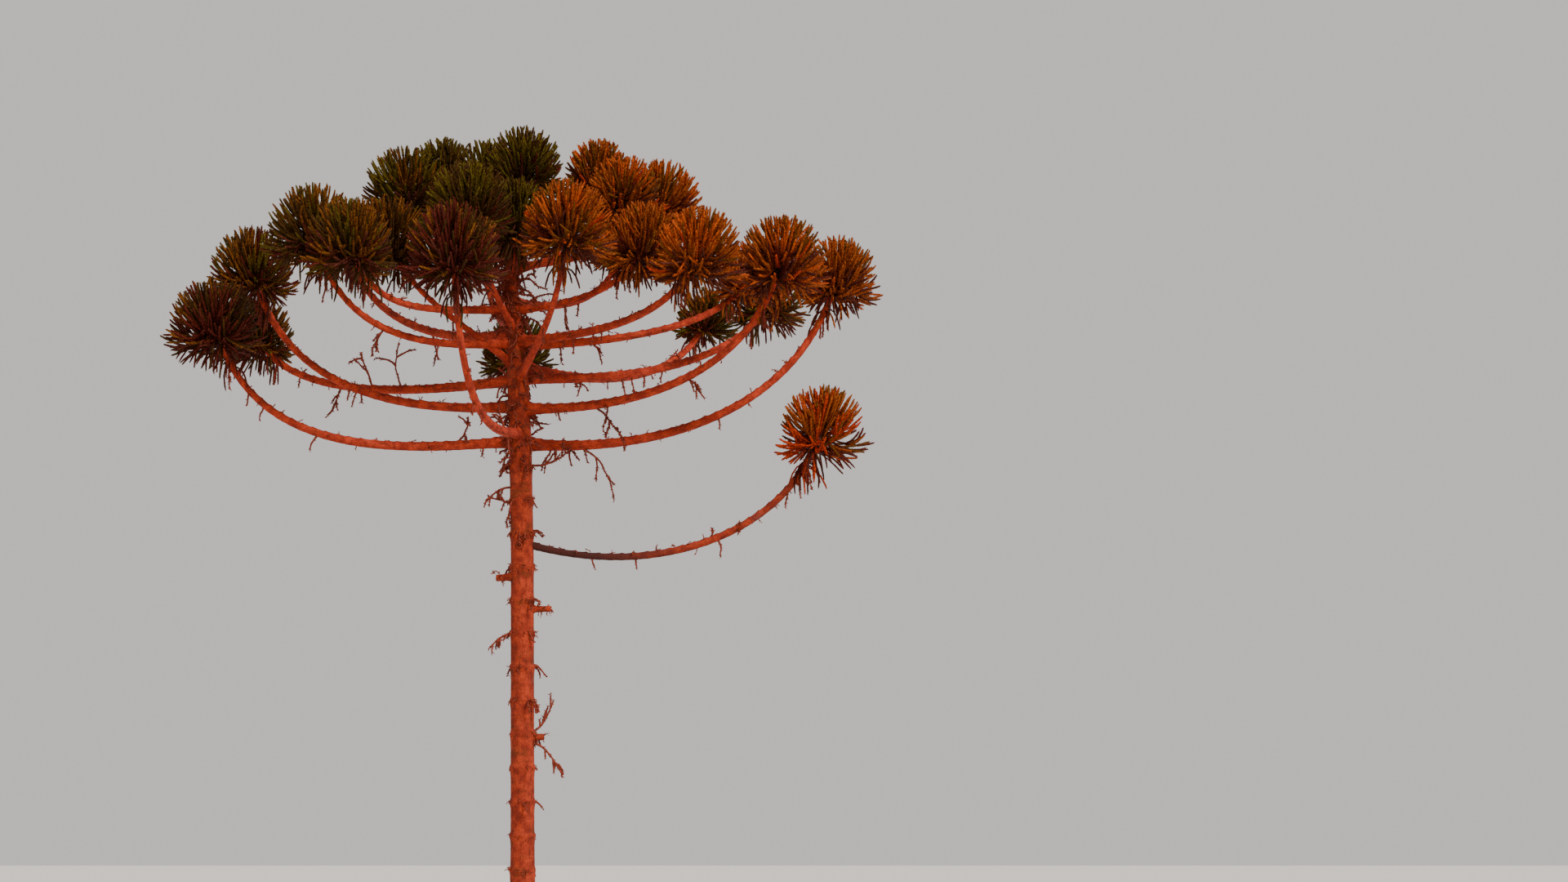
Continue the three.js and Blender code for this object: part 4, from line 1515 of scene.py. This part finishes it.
def bits_along(bough, random):
    """Dry bits all along a bough, in small bunches and more of them on its upper side, and the few
    long twigs that hang among them."""
    long_ones, short_ones = [], []
    reach = bough.reach * bough.entry
    travelled = 0.35 + 0.3 * random()
    while travelled < reach:
        share = travelled / bough.reach
        point = bough.at(share)
        along = bough.along(share)
        side = outwards(bough.azimuth - 90)
        over = np.cross(side, along)
        over = over if over[2] > 0 else -over
        lean = math.radians(lerp(-80, 80, random()))
        normal = (over if random() < ON_TOP else -over) * math.cos(lean) + side * math.sin(lean)
        start = point + normal * bough.radius(share) * 0.85
        for _ in range(1 + int(4 * random() ** 2)):
            way = unit(normal + along * lerp(-0.4, 1.2, random()) + side * (random() - 0.5))
            length = lerp(0.05, 0.14, random())
            path = wandering(start, way, length, random, droop=0.2, points=4, wander=0.4)
            short_ones.append(path)
        if random() < LONG_AMONG_SHORT:
            way = unit(-UP * 0.7 + along * lerp(-0.8, 0.8, random()) + side * (random() - 0.5))
            length = lerp(0.25, 0.5, random())
            path = wandering(point, way, length, random, droop=1.3, points=8, wander=0.26)
            long_ones.append(path)
        travelled += lerp(0.16, 0.42, random())
    return long_ones, short_ones


def bough_dead_twigs(boughs, random):
    """All the dead twigs of the boughs: the long ones, and the short bristles."""
    long_ones, short_ones = long_bough_twigs(boughs, random), []
    for bough in boughs:
        bough_long, bough_short = bits_along(bough, random)
        long_ones += bough_long
        short_ones += bough_short
    return long_ones, short_ones


def tuft_dead_twigs(boughs, random):
    """Bare twigs that hang out of the foot of each tuft."""
    long_ones = []
    for bough in boughs:
        for _ in range(2 + int(3 * random())):
            share = bough.entry - lerp(-0.02, 0.07, random())
            side = outwards(bough.azimuth + lerp(-100, 100, random()))
            reach = lerp(0.35, 0.62, random()) * bough.tuft_radius
            path = wandering(bough.at(share), side * 0.5 - UP, reach, random, droop=1.6, points=9,
                             wander=0.22)
            long_ones.append(path)
            if random() < 0.5:
                long_ones += forked(path, random, count=1, share=0.4, droop=1.0)
    return long_ones


class PINE_OT_dead_twigs(bpy.types.Operator):
    """Grows the dead twigs on the trunk, the boughs and under the tufts, with their dry scales"""

    bl_idname = "pine.dead_twigs"
    bl_label = "Dead Twigs"

    def execute(self, context):
        looks = context.scene.pine_bark
        random = seeded(4242)
        boughs = all_boughs()
        trunk_long, trunk_short = trunk_dead_twigs(random)
        bough_long, bough_short = bough_dead_twigs(boughs, random)
        long_ones = trunk_long + bough_long + tuft_dead_twigs(boughs, random)
        short_ones = trunk_short + bough_short
        tree = clad_tree()
        # Each piece takes a lit colour and a shaded one for its scales: painted light and shade
        for name, paths, light, dark in (
                ("dead_twigs", long_ones, looks.twig_light, looks.twig_dark),
                ("dry_frizz", short_ones, looks.frizz_light, looks.frizz_dark)):
            root, end, reach, spacing = SCALED_TWIGS[name]
            radii = [np.linspace(root, end, len(path)) for path in paths]
            lean = [np.full(len(path), math.radians(SCALE_LEAN)) for path in paths]
            size = [1 + BEADING * np.cos(np.arange(len(path)) * math.pi + number)
                    for number, path in enumerate(paths)]
            scale = needle_shape("dry_scale", reach, reach * SCALE_WIDTH, SCALE_START)
            twigs = strands(name, paths, radius=radii, lean=lean, size=size)
            grown(twigs, tree, sides=4, needle=scale, spacing=spacing, ragged=0.8, seed=3,
                  material=twig_material(name.replace("_", " "), light, dark))
            placed_piece(twigs, ["trunk"])
            bpy.data.objects.remove(scale)
        return {"FINISHED"}


def needle_shape(name, needle_length, width, start):
    """One needle along +Z: two faces folded along its keel, which is on the +X side."""
    keel = width * NEEDLE_KEEL
    widest = start + needle_length * NEEDLE_WIDEST
    points = [(0, 0, start), (-keel, width / 2, widest), (-keel, -width / 2, widest),
              (0, 0, start + needle_length)]
    mesh = bpy.data.meshes.new(name)
    mesh.from_pydata(points, [], [(0, 1, 3), (0, 3, 2)])
    return mesh_object(name, mesh)


def clad_part(finger, looks):
    """The needle-clad part of a finger: its line, the radius of its core, and the size and the lean
    of its needles."""
    along = np.array(CLAD_STEPS)
    shares = lerp(finger.clad_from, 1, along)
    steps = np.linspace(0, 1, len(finger.path))
    path = np.stack([np.interp(shares, steps, finger.path[:, axis]) for axis in range(3)], axis=1)
    coat = HANGING_COAT if finger.hangs else RISING_COAT
    radius, size, lean = (np.interp(along, *run) for run in coat)
    return path, radius * looks.finger_core, size, lean


def bare_part(finger):
    """The bare inner part of a finger and its radius."""
    end = 2 + int(finger.clad_from * (FINGER_POINTS - 1))
    return finger.path[:end], np.linspace(*BARE_RADIUS, end)


class PINE_OT_foliage(bpy.types.Operator):
    """Grows the fingers of the tufts and clads them with needles, colour by colour"""

    bl_idname = "pine.foliage"
    bl_label = "Foliage"

    def execute(self, context):
        looks = context.scene.pine_tufts
        named = all_fingers(looks)
        bare = [bare_part(finger) for _, finger in named]
        twigs = strands("inner_twigs", [path for path, _ in bare], radius=[radius for _, radius in bare])
        shaded = [0.35 * value for value in looks.inner_twig]
        grown(twigs, tube_tree(), sides=3, material=twig_material("inner twig", looks.inner_twig, shaded))
        placed_piece(twigs, sorted({f"mass_{name}" for name, _ in named}))
        needle = needle_shape("needle", looks.needle_length, looks.needle_width,
                              looks.finger_core * NEEDLE_START)
        tree = clad_tree()
        for shade in SHADES:
            chosen = [pair for pair in named if pair[1].colour == shade]
            material = needle_material(f"{shade.replace('_', ' ')} needles", getattr(looks, shade))
            lots = np.array_split(np.arange(len(chosen)), math.ceil(len(chosen) / MOST_FINGERS_A_PIECE))
            for number, lot in enumerate(lots):
                some = [chosen[place] for place in lot]
                paths, radii, sizes, leans = zip(*[clad_part(finger, looks) for _, finger in some])
                piece = f"{shade}_needles_{number + 1}"
                made = strands(piece, paths, radius=radii, size=sizes, lean=leans)
                grown(made, tree, sides=3, needle=needle, spacing=looks.needle_spacing, ragged=0.35,
                      seed=number + 11, material=material)
                placed_piece(made, sorted({f"mass_{name}" for name, _ in some}))
        bpy.data.objects.remove(needle)
        return {"FINISHED"}


class PINE_OT_stage(bpy.types.Operator):
    """Sets the floor, the light and the camera"""

    bl_idname = "pine.stage"
    bl_label = "Stage"

    def execute(self, context):
        looks = context.scene.pine_stage
        self.lay_floor(looks)
        self.light(context, looks)
        self.place_camera(context, looks)
        return {"FINISHED"}

    def place_camera(self, context, looks):
        lens = bpy.data.cameras.new("camera")
        lens.lens = looks.lens
        lens.sensor_width = 36.0
        lens.clip_end = 1000.0
        camera = bpy.data.objects.new("camera", lens)
        camera.location = (looks.camera_side, -looks.camera_distance, looks.camera_height)
        camera.rotation_euler = (math.pi / 2 + looks.camera_pitch, 0.0, 0.0)
        context.scene.collection.objects.link(camera)
        context.scene.camera = camera

    def lay_floor(self, looks):
        mesh = bpy.data.meshes.new("floor")
        corners = [(x * FLOOR_HALF, y * FLOOR_HALF, 0) for x, y in ((-1, -1), (1, -1), (1, 1), (-1, 1))]
        mesh.from_pydata(corners, [], [(0, 1, 2, 3)])
        material, tree, principled = shader("floor", 0.9)
        principled.inputs["Base Color"].default_value = opaque(looks.floor_colour)
        mesh.materials.append(material)
        mesh_object("floor", mesh)

    def light(self, context, looks):
        world = bpy.data.worlds.new("surroundings")
        world.use_nodes = True
        background = world.node_tree.nodes["Background"]
        background.inputs["Color"].default_value = opaque(looks.air_colour)
        background.inputs["Strength"].default_value = looks.air_strength
        context.scene.world = world
        lamp = bpy.data.lights.new("main light", "SUN")
        lamp.energy = looks.sun_strength
        lamp.angle = math.radians(LIGHT_WIDTH)
        lamp.color = LIGHT_TINT
        sun = bpy.data.objects.new("main light", lamp)
        sun.rotation_euler = (math.radians(LIGHT_TILT), 0.0, math.radians(LIGHT_TURN))
        context.scene.collection.objects.link(sun)


class PINE_PT_parts(bpy.types.Panel):
    """The steps that dress the tree"""

    bl_label = "Parana Pine"
    bl_idname = "PINE_PT_parts"
    bl_space_type = "VIEW_3D"
    bl_region_type = "UI"
    bl_category = "Pine"

    def draw(self, context):
        for operator in OPERATORS:
            self.layout.operator(operator.bl_idname)
        for settings in SETTINGS:
            group = getattr(context.scene, settings)
            for name in group.bl_rna.properties.keys():
                if name not in ("rna_type", "name"):
                    self.layout.prop(group, name)


SETTINGS = {"pine_bark": BarkLooks, "pine_tufts": TuftLooks, "pine_stage": StageLooks}
OPERATORS = (PINE_OT_stage, PINE_OT_trunk, PINE_OT_boughs, PINE_OT_dead_twigs, PINE_OT_foliage)


def register():
    for kind in (*SETTINGS.values(), *OPERATORS, PINE_PT_parts):
        bpy.utils.register_class(kind)
    for name, kind in SETTINGS.items():
        setattr(bpy.types.Scene, name, bpy.props.PointerProperty(type=kind))


def unregister():
    for name in SETTINGS:
        delattr(bpy.types.Scene, name)
    for kind in (PINE_PT_parts, *reversed(OPERATORS), *SETTINGS.values()):
        bpy.utils.unregister_class(kind)


def main():
    register()
    bpy.ops.pine.stage()
    bpy.ops.pine.trunk()
    bpy.ops.pine.boughs()
    bpy.ops.pine.dead_twigs()
    bpy.ops.pine.foliage()
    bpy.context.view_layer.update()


if __name__ == "__main__":
    main()
